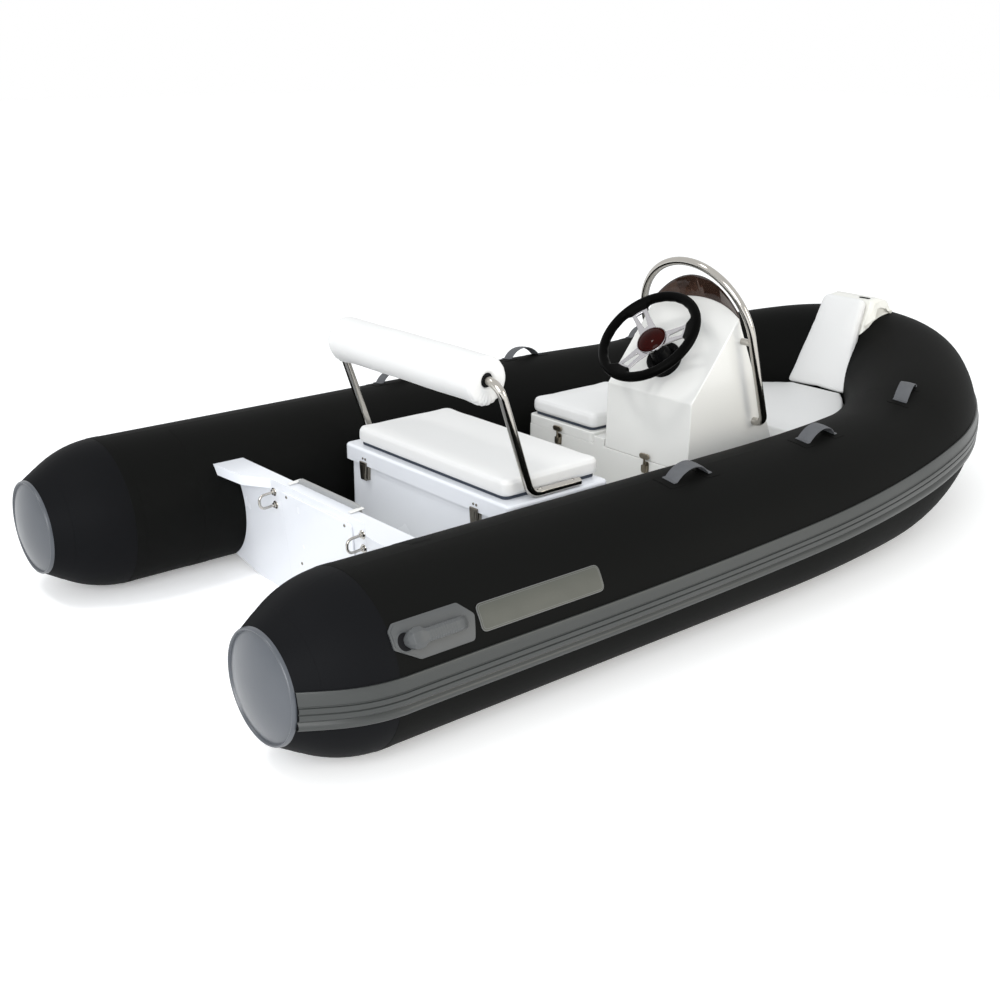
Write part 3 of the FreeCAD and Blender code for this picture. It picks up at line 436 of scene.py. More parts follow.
def strake_turn(distance, height):
    """The turn at which the skin meets the strake's edge, which is level aft and sweeps up forward."""
    low, high = -75.0, 75.0
    for _ in range(30):
        turn = (low + high) / 2
        point = on_tube(distance, turn)
        reach = max(0.0, point.x - strake_level_end)
        edge = height + strake_sheer_radius - math.sqrt(strake_sheer_radius ** 2 - reach ** 2)
        low, high = (turn, high) if point.z < edge else (low, turn)
    return (low + high) / 2


strake_start = cap_plane + 0.002
strake_steps = 150
half_run = tube_reach - strake_start
strake_edges = []
for step in range(strake_steps + 1):
    distance = strake_start + half_run * step / strake_steps
    turns = [strake_turn(distance, height) for height in (strake_bottom, strake_top)]
    strake_edges.append((distance, *turns))


def strake_place(along, across):
    """A point of the strake, from its starboard end round the bow, standing off the tapes it crosses."""
    step = round(abs(along * 2 - 1) * strake_steps)
    distance, low, high = strake_edges[strake_steps - step]
    share, out = strake_profile[round(across * (len(strake_profile) - 1))]
    on_seam_tape = seam_tape[0] - 0.001 < distance < seam_tape[1] + 0.001
    over_tape = 0.0007 if on_seam_tape or distance < end_tape[1] else 0.0
    point = on_tube(distance, low + (high - low) * share, out + over_tape)
    return Vector((point.x, -point.y, point.z)) if along < 0.5 else point


strake_rubber = finish(
    "grey_strake_rubber", (0.042, 0.045, 0.044), (0.031, 0.034, 0.033), 0.30, 0.38, 0.05,
    specular=0.36, grains=[("noise", 0.020, 0.00010), ("pebble", 0.0012, 0.00001)],
)
strake = grid_piece(strake_steps * 2, len(strake_profile) - 1, strake_place)
edit(strake)
close_edit(strake)
fit_out(
    strake, "rub_strake", "boat", strake_rubber, "strake_rubber",
    ["port_rub_strake", "starboard_rub_strake", "bow_rub_strake"], smooth=50,
)

# ---------------------------------------------------------------- end caps
# A round cap of grey moulded rubber closes each cone. It is a smooth dome inside a narrow rolled lip and
# is glued on.
dome_rise = 0.028
dome_radius = (cap_radius ** 2 + dome_rise ** 2) / (2 * dome_rise)
dome_swell = 1.08


def dome_out(radius):
    return dome_rise - dome_radius + math.sqrt(dome_radius ** 2 - radius ** 2)


def wire(points, ring=False):
    """A chain of edges through the points, or a ring of them, open in edit mode and selected."""
    let_go()
    bpy.ops.mesh.primitive_circle_add(vertices=len(points), radius=1, fill_type="NOTHING")
    piece = bpy.context.object
    for vertex, point in zip(piece.data.vertices, points):
        vertex.co = Vector(point)
    edit(piece, "EDGE")
    if not ring:
        form = bmesh.from_edit_mesh(piece.data)
        form.verts.ensure_lookup_table()
        last, first = form.verts[len(points) - 1], form.verts[0]
        for edge in form.edges:
            if {last, first} == set(edge.verts):
                edge.select_set(True)
        bmesh.update_edit_mesh(piece.data)
        bpy.ops.mesh.delete(type="EDGE")
    bpy.ops.mesh.select_all(action="SELECT")
    return piece


def spun(points, centre, axis, steps, ring=False):
    """The points turned once round an axis."""
    piece = wire(points, ring)
    bpy.ops.mesh.spin(steps=steps, angle=2 * math.pi, center=centre, axis=axis)
    return close_edit(piece)


cap_rubber = finish(
    "grey_cap_rubber", (0.058, 0.066, 0.079), (0.045, 0.052, 0.063), 0.12, 0.34, 0.03,
    specular=0.75, grains=[("noise", 0.012, 0.00008), ("pebble", 0.0010, 0.00001)],
)
cap_profile = [
    (dome_out(radius) * dome_swell, radius)
    for radius in (0.0, 0.012, 0.025, 0.040, 0.055, 0.070, 0.084, 0.096, 0.106, 0.114, 0.120, 0.1255)
]
cap_profile += [
    (0.0030, 0.1275), (0.0030, 0.1285), (0.0046, 0.1296), (0.0072, 0.1308), (0.0084, 0.1324),
    (0.0080, 0.1342), (0.0058, 0.1358), (0.0010, 0.1368), (-0.0060, 0.1372), (-0.0070, 0.1340),
]
cap_centre = Vector((cap_plane, tube_half_spacing, tube_axis_height))
cap_line = [cap_centre + Vector((-out, 0, radius)) for out, radius in cap_profile]
cap = spun(cap_line, cap_centre, (1, 0, 0), 96)
both_sides(cap, "end_cap", cap_rubber, "cap_rubber", ["end_caps"], smooth=50)

# ---------------------------------------------------------------- hull and sole
# The rigid bottom is one white glass-fibre moulding bonded to the tubes along its edge. Its sole is a
# cream inner moulding with a fine non-slip grain. The bow deck is a smooth white moulding above it.


def soften(piece, width, segments=3, angle=30):
    """Rounds every edge that is sharper than the angle."""
    return worked(
        piece, "BEVEL", width=width, segments=segments, limit_method="ANGLE",
        angle_limit=math.radians(angle), miter_outer="MITER_ARC",
    )


def cast_of(node, flat=2.0):
    """A copy of a plain node with its loose triangles merged into whole faces."""
    piece = bpy.data.objects.new(node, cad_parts[node].data.copy())
    bpy.context.scene.collection.objects.link(piece)
    edit(piece)
    bpy.ops.mesh.select_all(action="SELECT")
    bpy.ops.mesh.remove_doubles(threshold=0.00005)
    bpy.ops.mesh.dissolve_limited(angle_limit=math.radians(flat))
    bpy.ops.object.mode_set(mode="OBJECT")
    return piece


def softened_cast(node, name, material, slot, width, segments=3, body="boat", flat=2.0):
    """Fits out a node's own shape with its edges rounded."""
    fit_out(soften(cast_of(node, flat), width, segments), name, body, material, slot, [node])


white_gelcoat = finish(
    "white_gelcoat", (0.800, 0.800, 0.778), (0.772, 0.772, 0.748), 0.35, 0.26, 0.05,
    specular=0.45, coat=0.25, grains=[("noise", 0.06, 0.00015)],
)
cream_sole = finish(
    "cream_sole", (0.760, 0.752, 0.700), (0.720, 0.712, 0.660), 0.20, 0.48, 0.06,
    specular=0.35, grains=[("pebble", 0.0035, 0.00035), ("noise", 0.08, 0.0002)],
)
coat(white_gelcoat, "hull")
coat(cream_sole, "cockpit_sole")
softened_cast("bow_deck", "bow_deck_moulding", white_gelcoat, "moulding", 0.005)

# ---------------------------------------------------------------- transom
# The transom is a raked white moulding with a ledge at each tube. A thin raised pad takes the motor's
# bracket, and a plate hooked over the top edge takes its clamp screws. A steel U-bolt stands at each side.
transom_edge = Vector((-1.077, 0.0, 0.355))
turn_of_rake = Matrix.Rotation(math.radians(-5), 4, "Y")
rake = Matrix.Translation(transom_edge) @ turn_of_rake @ Matrix.Translation(-transom_edge)


def block(low, high):
    """A box between two corners."""
    let_go()
    middle = [(a + b) / 2 for a, b in zip(low, high)]
    size = [b - a for a, b in zip(low, high)]
    bpy.ops.mesh.primitive_cube_add(size=1, location=middle, scale=size)
    bpy.ops.object.transform_apply(location=True, rotation=True, scale=True)
    return bpy.context.object


def pick(piece, kind, wanted):
    """Selects, in edit mode, the vertices, edges or faces that pass the test."""
    bpy.ops.mesh.select_mode(type=kind)
    bpy.ops.mesh.select_all(action="DESELECT")
    form = bmesh.from_edit_mesh(piece.data)
    for element in {"VERT": form.verts, "EDGE": form.edges, "FACE": form.faces}[kind]:
        if wanted(element):
            element.select_set(True)
    bmesh.update_edit_mesh(piece.data)


def edge_middle(edge):
    return (edge.verts[0].co + edge.verts[1].co) / 2


def edge_run(edge):
    return (edge.verts[1].co - edge.verts[0].co).normalized()


def round_edges(piece, wanted, width, segments=4):
    edit(piece, "EDGE")
    pick(piece, "EDGE", wanted)
    bpy.ops.mesh.bevel(offset=width, segments=segments, affect="EDGES", clamp_overlap=True)
    bpy.ops.object.mode_set(mode="OBJECT")
    return piece


def is_upright(edge):
    return abs(edge_run(edge).z) > 0.99


def rounded_path(corners, bend):
    """Points along straight runs with a tangent arc of the given radius at each inner corner."""
    corners = [Vector(corner) for corner in corners]
    points = [corners[0]]
    for before, corner, after in zip(corners, corners[1:], corners[2:]):
        arriving = (corner - before).normalized()
        leaving = (after - corner).normalized()
        turn = arriving.angle(leaving)
        start = corner - arriving * bend * math.tan(turn / 2)
        axis = arriving.cross(leaving).normalized()
        centre = start + axis.cross(arriving) * bend
        steps = max(4, round(math.degrees(turn) / 5))
        for step in range(steps + 1):
            points.append(centre + Matrix.Rotation(turn * step / steps, 3, axis) @ (start - centre))
    return points + [corners[-1]]


def rod(points, radius):
    """A round bar along the points."""
    line = bpy.data.curves.new("rod", "CURVE")
    line.dimensions = "3D"
    line.bevel_depth = radius
    line.bevel_resolution = 8
    line.use_fill_caps = True
    run = line.splines.new("POLY")
    run.points.add(len(points) - 1)
    for knot, point in zip(run.points, points):
        knot.co = (*point, 1)
    piece = bpy.data.objects.new("rod", line)
    bpy.context.scene.collection.objects.link(piece)
    choose(piece)
    bpy.ops.object.convert(target="MESH")
    edit(piece)
    return close_edit(piece)


def hex_nut(centre, axis, across, height):
    """A six-sided nut with its corners turned off, standing on a centre along an axis."""
    let_go()
    turn = Vector(axis).to_track_quat("Z", "Y")
    bpy.ops.mesh.primitive_cylinder_add(
        vertices=6, radius=across / 2 / math.cos(math.radians(30)), depth=height,
        location=Vector(centre) + Vector(axis).normalized() * height / 2, rotation=turn.to_euler(),
    )
    bpy.ops.object.transform_apply(location=True, rotation=True, scale=True)
    return soften(bpy.context.object, height * 0.14, 2)


def turned(shape, steps, ring=False):
    """A shape of (radius, height) points turned once round the Z axis."""
    return spun([(0, reach, rise) for reach, rise in shape], (0, 0, 0), (0, 0, 1), steps, ring)


def screws(places, axis, radius):
    """Low domed screw heads standing at the places along an axis, and the crosses in them, as two pieces."""
    domed = [(0.0, 0.42), (0.30, 0.42), (0.34, 0.40), (0.62, 0.36), (0.85, 0.24), (0.98, 0.08), (1.0, -0.20)]
    facing = Vector(axis).to_track_quat("Z", "Y").to_matrix().to_4x4()
    heads, crosses = [], []
    for place in places:
        head = turned([(reach * radius, out * radius) for reach, out in domed], 20)
        slot = block(
            (-0.55 * radius, -0.09 * radius, 0.30 * radius), (0.55 * radius, 0.09 * radius, 0.46 * radius),
        )
        cross = joined([slot, twin(slot, Matrix.Rotation(math.radians(90), 4, "Z"))])
        for shape in (head, cross):
            shape.data.transform(Matrix.Translation(Vector(place)) @ facing)
        heads.append(head)
        crosses.append(cross)
    return joined(heads), joined(crosses)


# Painted light: the white gelcoat with a blue tint painted in for the skylight on the aft faces.
sky_tinted_gelcoat = finish(
    "white_gelcoat_painted_sky_tint", (0.815, 0.835, 0.880), (0.790, 0.812, 0.855), 0.30, 0.26, 0.05,
    specular=0.45, coat=0.25, grains=[("noise", 0.06, 0.00015)],
)
polished_steel = finish(
    "polished_steel", (0.500, 0.482, 0.450), (0.420, 0.402, 0.370), 0.05, 0.12, 0.05,
    metal=1.0, grains=[("noise", 0.015, 0.00003)],
)
dark_steel = finish(
    "weathered_steel", (0.270, 0.250, 0.215), (0.180, 0.165, 0.140), 0.010, 0.34, 0.08,
    metal=1.0, grains=[("noise", 0.003, 0.00010)],
)
# A near-black that is painted shade: it stands for the dark inside slots, openings and recesses.
painted_shade_black = finish(
    "shadow_black", (0.010, 0.010, 0.011), (0.007, 0.007, 0.008), 0.01, 0.70, 0.05, specular=0.1,
    grains=[("noise", 0.002, 0.00005)],
)
# The transom and its pad take the gelcoat with the painted sky tint.
softened_cast("transom", "transom_moulding", sky_tinted_gelcoat, "transom_moulding", 0.005)
softened_cast("engine_pad", "engine_pad_moulding", sky_tinted_gelcoat, "transom_moulding", 0.0018, 2)

pad_face = transom_edge.x - 0.006
pad_corners = ((0.145, 0.323), (-0.145, 0.323), (0.104, 0.130), (-0.104, 0.130))
pad_screws, pad_crosses = screws([(pad_face, y, z) for y, z in pad_corners], (-1, 0, 0), 0.0048)
pad_screws.data.transform(rake)
pad_crosses.data.transform(rake)
fit_out(pad_screws, "pad_screws", "boat", dark_steel, "polished_steel")
# The crosses are near-black, painted shade for the screws' slots.
fit_out(pad_crosses, "pad_screw_slot_shade", "boat", painted_shade_black, "polished_steel")

clamp_grey = finish(
    "clamp_plate_grey", (0.330, 0.335, 0.335), (0.290, 0.295, 0.295), 0.04, 0.42, 0.05,
    specular=0.4, grains=[("pebble", 0.0016, 0.00006)],
)
softened_cast("clamp_plate", "clamp_plate_body", clamp_grey, "clamp_metal", 0.0018, 2)
clamp_hooks = joined([
    soften(block((-1.067, y - 0.007, 0.3552), (-1.022, y + 0.007, 0.3590)), 0.0015, 2)
    for y in (-0.150, 0.150)
])
clamp_hooks.data.transform(rake)
fit_out(clamp_hooks, "clamp_plate_hooks", "boat", white_gelcoat, "clamp_metal")

bolt_upper, bolt_lower = 0.318, 0.278
bolt_aft = transom_edge.x - 0.052
bolt_bend, bolt_radius = 0.0175, 0.004
washer_thick, nut_across, nut_height = 0.0022, 0.0145, 0.0060
washer_shape = [(0.0, 0.0045), (0.0, 0.0118), (0.0012, 0.0124), (0.0022, 0.0118), (0.0024, 0.0045)]
u_bolts = []
for y in (-0.220, 0.220):
    corners = [
        (transom_edge.x, y, bolt_upper), (bolt_aft, y, bolt_upper),
        (bolt_aft, y, bolt_lower), (transom_edge.x, y, bolt_lower),
    ]
    u_bolts.append(rod(rounded_path(corners, bolt_bend), bolt_radius))
    for z in (bolt_upper, bolt_lower):
        foot = Vector((transom_edge.x, y, z))
        washer_line = [foot + Vector((-out, 0, reach)) for out, reach in washer_shape]
        washer = spun(washer_line, foot, (1, 0, 0), 32, ring=True)
        nut_foot = foot - Vector((washer_thick, 0, 0))
        u_bolts += [washer, hex_nut(nut_foot, (-1, 0, 0), nut_across, nut_height)]
u_bolts = joined(u_bolts)
u_bolts.data.transform(rake)
fit_out(u_bolts, "u_bolts", "boat", polished_steel, "polished_steel", ["stern_u_bolts"])

# ---------------------------------------------------------------- rear seat
# The rear seat is an open-topped white box screwed to the sole, with a deep moulded lid hinged at its
# forward edge. Two draw latches hold the lid aft. A filled vinyl cushion lies on it on a dark base board,
# whose darkness also paints the shade in the gap under the cushion's edge.
board_thick, board_room = 0.0078, 0.0077
box_wall = 0.008
latch_cover_out, latch_rib_out, latch_barrel_out = 0.0150, 0.0213, 0.0160


def hollowed(piece, up, wall, depth):
    """Hollows a closed form through its top, where up is 1, or through its underside, where up is -1."""
    edit(piece, "FACE")
    pick(piece, "FACE", lambda face: face.normal.z * up > 0.9)
    bpy.ops.mesh.inset(thickness=wall)
    bpy.ops.mesh.extrude_region_move(TRANSFORM_OT_translate={"value": (0, 0, -up * depth)})
    return close_edit(piece)


def moulded_lid(node, corner, top_edge, wall, depth):
    """A lid with rounded corners, hollow below, that leaves room over it for the cushion's base board."""
    low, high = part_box(node)
    top = high[2] - board_room
    lid = block(low, (high[0], high[1], top))
    round_edges(lid, is_upright, corner, 5)
    round_edges(
        lid, lambda edge: edge_middle(edge).z > top - 0.0005 and abs(edge_run(edge).z) < 0.1, top_edge, 4,
    )
    return soften(hollowed(lid, -1, wall, depth), 0.0012, 2, 50)


rear_box_low, rear_box_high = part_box("rear_seat_box")
rear_box = round_edges(block(rear_box_low, rear_box_high), is_upright, 0.020, 5)
hollowed(rear_box, 1, box_wall, rear_box_high[2] - rear_box_low[2] - box_wall)
# The rear box and its lid take the gelcoat with the painted sky tint.
fit_out(soften(rear_box, 0.0015, 2), "rear_box", "boat", sky_tinted_gelcoat, "moulding", ["rear_seat_box"])
rear_lid = moulded_lid("rear_seat_lid", 0.020, 0.009, 0.022, 0.034)
fit_out(rear_lid, "rear_lid", "rear_seat", sky_tinted_gelcoat, "moulding", ["rear_seat_lid"])

# Painted shade in part: the base boards' dark slate colour also stands for the shade under each cushion's
# edge.
board_cloth_and_shade = finish(
    "slate_base_cloth_and_painted_shade", (0.050, 0.060, 0.080), (0.036, 0.044, 0.060), 0.05, 0.70, 0.05,
    specular=0.2, grains=[("weave", 0.0012, 0.00006)],
)


def base_board(cushion, body, name):
    """A dark board under a cushion, a little smaller all round; its darkness also paints the gap's shade."""
    low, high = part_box(cushion)
    board = block(
        (low[0] + 0.010, low[1] + 0.010, low[2] - board_thick),
        (high[0] - 0.010, high[1] - 0.010, low[2] + 0.004),
    )
    round_edges(board, is_upright, 0.018, 4)
    fit_out(soften(board, 0.001, 2), name, body, board_cloth_and_shade, "cushion_cover")


def steps_of_cloth(piece, reach, held_level):
    """Blows the cover up round its filling, with its base held, and lets no point move past the reach."""
    start = [point.co.copy() for point in piece.data.vertices]
    held = piece.vertex_groups.new(name="held")
    held.add([point.index for point in piece.data.vertices if point.co.z < held_level], 1.0, "REPLACE")
    cloth = piece.modifiers.new("filling", "CLOTH")
    cloth.settings.use_pressure = True
    cloth.settings.uniform_pressure_force = 4
    cloth.settings.effector_weights.gravity = 0
    cloth.settings.vertex_group_mass = "held"
    for step in range(1, 21):
        bpy.context.scene.frame_set(step)
    filled = piece.evaluated_get(bpy.context.evaluated_depsgraph_get()).data
    moves = [end.co - begin for end, begin in zip(filled.vertices, start)]
    bpy.context.scene.frame_set(1)
    piece.modifiers.remove(cloth)
    piece.vertex_groups.clear()
    furthest = max(move.length for move in moves)
    share = min(1.0, reach / furthest)
    for point, begin, move in zip(piece.data.vertices, start, moves):
        point.co = begin + move * share


def fill_room(piece, low, high):
    """Stretches a filled cover the last few millimetres, so that it just fills its own room."""
    for axis in range(3):
        places = [point.co[axis] for point in piece.data.vertices]
        least, most = min(places), max(places)
        for point in piece.data.vertices:
            share = (point.co[axis] - least) / (most - least)
            point.co[axis] = low[axis] + share * (high[axis] - low[axis])


def cushion(
    form, name, body, fill, voxel, reach, held_level, replaced,
    corner=0.013, shape=None, room=None,
):
    """A filled vinyl cushion made from a closed form: drawn in a little, remeshed, blown up and smoothed."""
    soften(form, corner, 4, 45)
    edit(form)
    bpy.ops.mesh.select_all(action="SELECT")
    bpy.ops.mesh.normals_make_consistent(inside=False)
    bpy.ops.object.mode_set(mode="OBJECT")
    worked(form, "REMESH", mode="VOXEL", voxel_size=voxel)
    steps_of_cloth(form, reach, held_level)
    worked(form, "SMOOTH", factor=0.5, iterations=6)
    worked(form, "SUBSURF", levels=1, render_levels=1)
    if room:
        fill_room(form, *room)
    if shape:
        for point in form.data.vertices:
            point.co = shape(point.co)
    fit_out(form, name, body, white_vinyl, "cushion_cover", replaced, smooth=180)


white_vinyl = finish(
    "white_marine_vinyl", (0.780, 0.780, 0.774), (0.758, 0.758, 0.752), 0.18, 0.50, 0.05,
    specular=0.32, grains=[("noise", 0.035, 0.00035), ("pebble", 0.0018, 0.00005)],
)


def seam_groove(distance, width, depth):
    """How far a surface dips at a distance from the middle of a stitched seam."""
    return -depth * math.exp(-((distance / width) ** 2))


def boxed_cushion(node, name, body, fill, corner_radius, reach):
    """A seat cushion that fills its node's box, with its panels sewn a little below the top edge."""
    low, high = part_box(node)
    inner, seam_drop = 0.003, 0.016
    form = block(
        (low[0] + inner, low[1] + inner, low[2]), (high[0] - inner, high[1] - inner, high[2] - inner),
    )
    round_edges(form, is_upright, corner_radius, 5)
    middle = Vector(((low[0] + high[0]) / 2, (low[1] + high[1]) / 2, 0))

    def with_seams(point):
        dip = seam_groove(point.z - (high[2] - seam_drop), 0.0022, 0.0011)
        away = Vector((point.x - middle.x, point.y - middle.y, 0))
        near_side = max(abs(away.x) / (middle.x - low[0]), abs(away.y) / (middle.y - low[1]))
        return point + away.normalized() * dip if near_side > 0.9 else point

    cushion(
        form, name, body, fill, 0.006, reach, low[2] + 0.006, [node],
        corner=0.014, shape=with_seams, room=(low, high),
    )


base_board("rear_seat_cushion", "rear_seat", "rear_base_board")
boxed_cushion("rear_seat_cushion", "rear_cushion", "rear_seat", 0.85, 0.026, 0.009)


def flat_plate(outline, sweep):
    """A flat outline of points, thickened by a sweep."""
    let_go()
    bpy.ops.mesh.primitive_circle_add(vertices=len(outline), fill_type="NGON")
    piece = bpy.context.object
    for vertex, point in zip(piece.data.vertices, outline):
        vertex.co = point
    edit(piece, "FACE")
    bpy.ops.mesh.select_all(action="SELECT")
    bpy.ops.mesh.extrude_region_move(TRANSFORM_OT_translate={"value": sweep})
    return close_edit(piece)


def even_slab(base, sides, thickness, soft=0.0015):
    """An even-sided plate standing aft of a base point, from its (half width, height) points going up."""
    x, y, z = base
    outline = [(x, y + half, z + height) for half, height in sides]
    outline += [(x, y - half, z + height) for half, height in reversed(sides)]
    return soften(flat_plate(outline, (-thickness, 0, 0)), soft, 3)


box_face, seam = rear_box_low[0], rear_box_high[2]
foot_side = [(0.013, -0.046), (0.015, -0.003)]
cover_side = [(0.0115, -0.044), (0.0165, 0.004), (0.0165, 0.012)]
rib_side = [(0.0055, -0.036), (0.008, 0.004)]
barrel_face, barrel_height = box_face - latch_barrel_out, seam - 0.043
screw_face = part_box("rear_seat_lid")[0][0] - 0.0002
rear_latch_pieces, keeper_screws = [], []
for y in (0.283, -0.248):
    rear_latch_pieces += [
        even_slab((box_face, y, seam), foot_side, 0.0115),
        even_slab((box_face - latch_cover_out, y, seam), cover_side, 0.0065, 0.0024),
        even_slab((box_face - latch_rib_out, y, seam), rib_side, 0.0015, 0.0006),
        rod([(barrel_face, y - 0.012, barrel_height), (barrel_face, y + 0.012, barrel_height)], 0.0034),
    ]
    keeper_screws += [(screw_face, y + across, seam + 0.0205) for across in (-0.0065, 0.0065)]
rear_latches = joined(rear_latch_pieces)
fit_out(rear_latches, "rear_draw_latches", "boat", dark_steel, "polished_steel", ["rear_latches"])
heads, crosses = screws(keeper_screws, (-1, 0, 0), 0.0042)
fit_out(heads, "rear_latch_plates", "rear_seat", dark_steel, "polished_steel", ["rear_latch_keepers"])
# The crosses are near-black, painted shade for the screws' slots.
fit_out(crosses, "rear_latch_screw_slots", "rear_seat", painted_shade_black, "polished_steel")
coat(polished_steel, "rear_lid_hinges", "rear_lid_knuckles")

# ---------------------------------------------------------------- backrest
# One bent stainless tube stands on the sides of the rear lid and carries a foam bolster in a sewn white
# cover. The cover has flat round ends, an opening where the tube comes out, and loose folds below it.
bar_radius = 0.0125
bolster_low, bolster_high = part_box("backrest_bolster")
bolster_axis = Vector(((bolster_low[0] + bolster_high[0]) / 2, 0, (bolster_low[2] + bolster_high[2]) / 2))
bolster_radius = (bolster_high[2] - bolster_low[2]) / 2
bolster_half = bolster_high[1]
frame_low, frame_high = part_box("backrest_frame")
post_y = frame_high[1] - bar_radius
post_foot_z = frame_low[2] + bar_radius
half_hoop = [
    (frame_high[0], post_y, post_foot_z), (-0.622, post_y, post_foot_z),
    (bolster_axis.x, post_y, bolster_axis.z),
]
other_half = [(x, -y, z) for x, y, z in reversed(half_hoop)]
hoop = rod(rounded_path(half_hoop + other_half, 0.042), bar_radius)
foot_top = post_foot_z + bar_radius - 0.0008
foot_places = [(x, side * post_y, foot_top) for side in (-1, 1) for x in (-0.465, -0.585)]
heads, crosses = screws(foot_places, (0, 0, 1), 0.0055)
hoop = joined([hoop, heads])
fit_out(hoop, "backrest_hoop", "rear_seat", polished_steel, "polished_steel", ["backrest_frame"], smooth=50)
# The crosses are near-black, painted shade for the screws' slots.
fit_out(crosses, "backrest_screw_slot_shade", "rear_seat", painted_shade_black, "polished_steel")

opening = 0.0205
half_roll = [
    (bolster_half - 0.030, opening - 0.003), (bolster_half - 0.001, opening),
    (bolster_half, opening + 0.004), (bolster_half, bolster_radius - 0.006),
    (bolster_half - 0.006, bolster_radius),
]
roll_profile = half_roll + [(-y, radius) for y, radius in reversed(half_roll)]
roll = spun(
    [bolster_axis + Vector((0, y, radius)) for y, radius in roll_profile],
    bolster_axis, (0, 1, 0), 72, ring=True,
)


def cover_folds(point):
    """The end seams are drawn in, and below each opening the cover hangs in small folds."""
    arm = Vector((point.x - bolster_axis.x, 0, point.z - bolster_axis.z))
    outside = arm.length > bolster_radius * 0.85
    from_end = bolster_half - abs(point.y)
    below = max(0.0, -arm.normalized().z - 0.55) / 0.45
    if outside:
        near_end = math.exp(-((from_end / 0.045) ** 2))
        dip = seam_groove(from_end - 0.0075, 0.0022, 0.0016)
        folds = 0.0022 * below * near_end * math.sin(arm.x * 420 + point.y * 60)
        hang = 0.0040 * below ** 2 * near_end
        swell = 0.0008 * math.sin(point.y * 19 + 1.0) * math.sin(point.y * 7.3 + arm.x * 30)
        return point + arm.normalized() * (dip + folds + hang + swell)
    if from_end < 0.012:
        pucker = 0.0022 * below * math.sin(math.atan2(arm.x, -arm.z) * 14)
        return point + Vector((0, math.copysign(pucker, point.y), 0))
    return point


cushion(
    roll, "bolster", "rear_seat", 0.95, 0.0055, 0.004, -1, ["backrest_bolster"],
    corner=0.002, shape=cover_folds, room=(bolster_low, bolster_high),
)
shade_shape = [(0.008, 0.0), (0.008, opening + 0.003), (0.014, opening + 0.003)]
shades = []
for side in (-1, 1):
    line = [bolster_axis + Vector((0, side * (bolster_half - inset), reach)) for inset, reach in shade_shape]
    shades.append(spun(line, bolster_axis, (0, 1, 0), 40))
fit_out(joined(shades), "bolster_opening_shade", "rear_seat", painted_shade_black, "cushion_cover")

# ---------------------------------------------------------------- middle locker and side seat
# A white moulded locker spans the cockpit under the console and the side seat, with a hatch below each.
# The side seat's lid is hinged at its forward edge and held by a T-headed draw latch. It carries a
# filled cushion on a dark base board, whose darkness also paints the shade under the cushion's edge.
softened_cast("middle_locker", "locker_moulding", white_gelcoat, "moulding", 0.004)
side_lid = moulded_lid("side_seat_lid", 0.018, 0.005, 0.020, 0.024)
fit_out(side_lid, "side_lid", "side_seat", white_gelcoat, "moulding", ["side_seat_lid"])
base_board("side_seat_cushion", "side_seat", "side_base_board")
boxed_cushion("side_seat_cushion", "side_cushion", "side_seat", 0.85, 0.024, 0.008)

bronze_steel = finish(
    "tarnished_steel", (0.350, 0.310, 0.245), (0.230, 0.200, 0.155), 0.012, 0.36, 0.08,
    metal=1.0, grains=[("noise", 0.003, 0.00010)],
)
locker_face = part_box("middle_locker")[0][0]
locker_seam = 0.292


def draw_latch(part, body):
    """A T-headed draw latch on the locker: its fixed half below the seam, and the hook on a body above."""
    middle_y = sum(corner[1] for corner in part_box(part + "_latch")) / 2

    def at(out, across, rise):
        return (locker_face - out, middle_y + across, locker_seam + rise)

    foot_side = [(0.0115, -0.040), (0.0125, -0.034), (0.0125, -0.007), (0.009, -0.003)]
    lever_side = [(0.0075, -0.038), (0.0080, -0.022), (0.0045, -0.012)]
    head_side = [(0.0120, 0.0070), (0.0180, 0.0095), (0.0208, 0.0160), (0.0190, 0.0225), (0.0120, 0.0250)]
    foot = even_slab(at(0, 0, 0), foot_side, 0.0026, 0.0008)
    ears = [
        soften(block(at(0.0125, across - 0.001, -0.034), at(0.002, across + 0.001, -0.014)), 0.0009, 2)
        for across in (-0.0095, 0.0095)
    ]
    cross_pin = rod([at(0.0085, -0.0115, -0.024), at(0.0085, 0.0115, -0.024)], 0.0024)
    lever = even_slab(at(0.0095, 0, 0), lever_side, 0.0035, 0.0012)
    shank = rod([at(0.0105, 0, -0.020), at(0.0105, 0, 0.014)], 0.0032)
    head = even_slab(at(0.0075, 0, 0), head_side, 0.0062, 0.0022)
    keeper = even_slab(at(0, 0, 0), [(0.0080, 0.0045), (0.0080, 0.0205)], 0.0028, 0.0009)
    hook = even_slab(at(0.0026, 0, 0), [(0.007, 0.0125), (0.007, 0.0165)], 0.0045, 0.001)
    fixed_half = joined([foot, *ears, cross_pin, lever, shank, head])
    moving_half = joined([keeper, hook])
    looks = (bronze_steel, "polished_steel")
    fit_out(fixed_half, part + "_draw_latch", "boat", *looks, [part + "_latch"])
    fit_out(moving_half, part + "_latch_hook", body, *looks, [part + "_latch_keeper"])


draw_latch("side", "side_seat")
coat(polished_steel, "side_lid_hinges", "side_lid_knuckles")

# ---------------------------------------------------------------- console
# The console is a hollow white moulding with an arch-topped dash. It tips forward on a hinge at its foot,
# and a T-headed draw latch holds it aft. A low brown screen of clear acrylic follows the arch.
softened_cast("console", "console_moulding", white_gelcoat, "moulding", 0.0055, 4, "console_unit", 1.0)
draw_latch("console", "console_unit")
coat(polished_steel, "console_hinge", "console_knuckle")

brown_acrylic = finish("brown_acrylic", (0.085, 0.048, 0.034), (0.066, 0.036, 0.026), 0.12, 0.05, 0.01)
screen_shader = brown_acrylic.node_tree.nodes["Principled BSDF"]
screen_shader.inputs["Transmission Weight"].default_value = 0.55
screen_shader.inputs["IOR"].default_value = 1.49
softened_cast("windscreen", "screen", brown_acrylic, "tinted_screen", 0.0012, 2, "console_unit", 1.0)

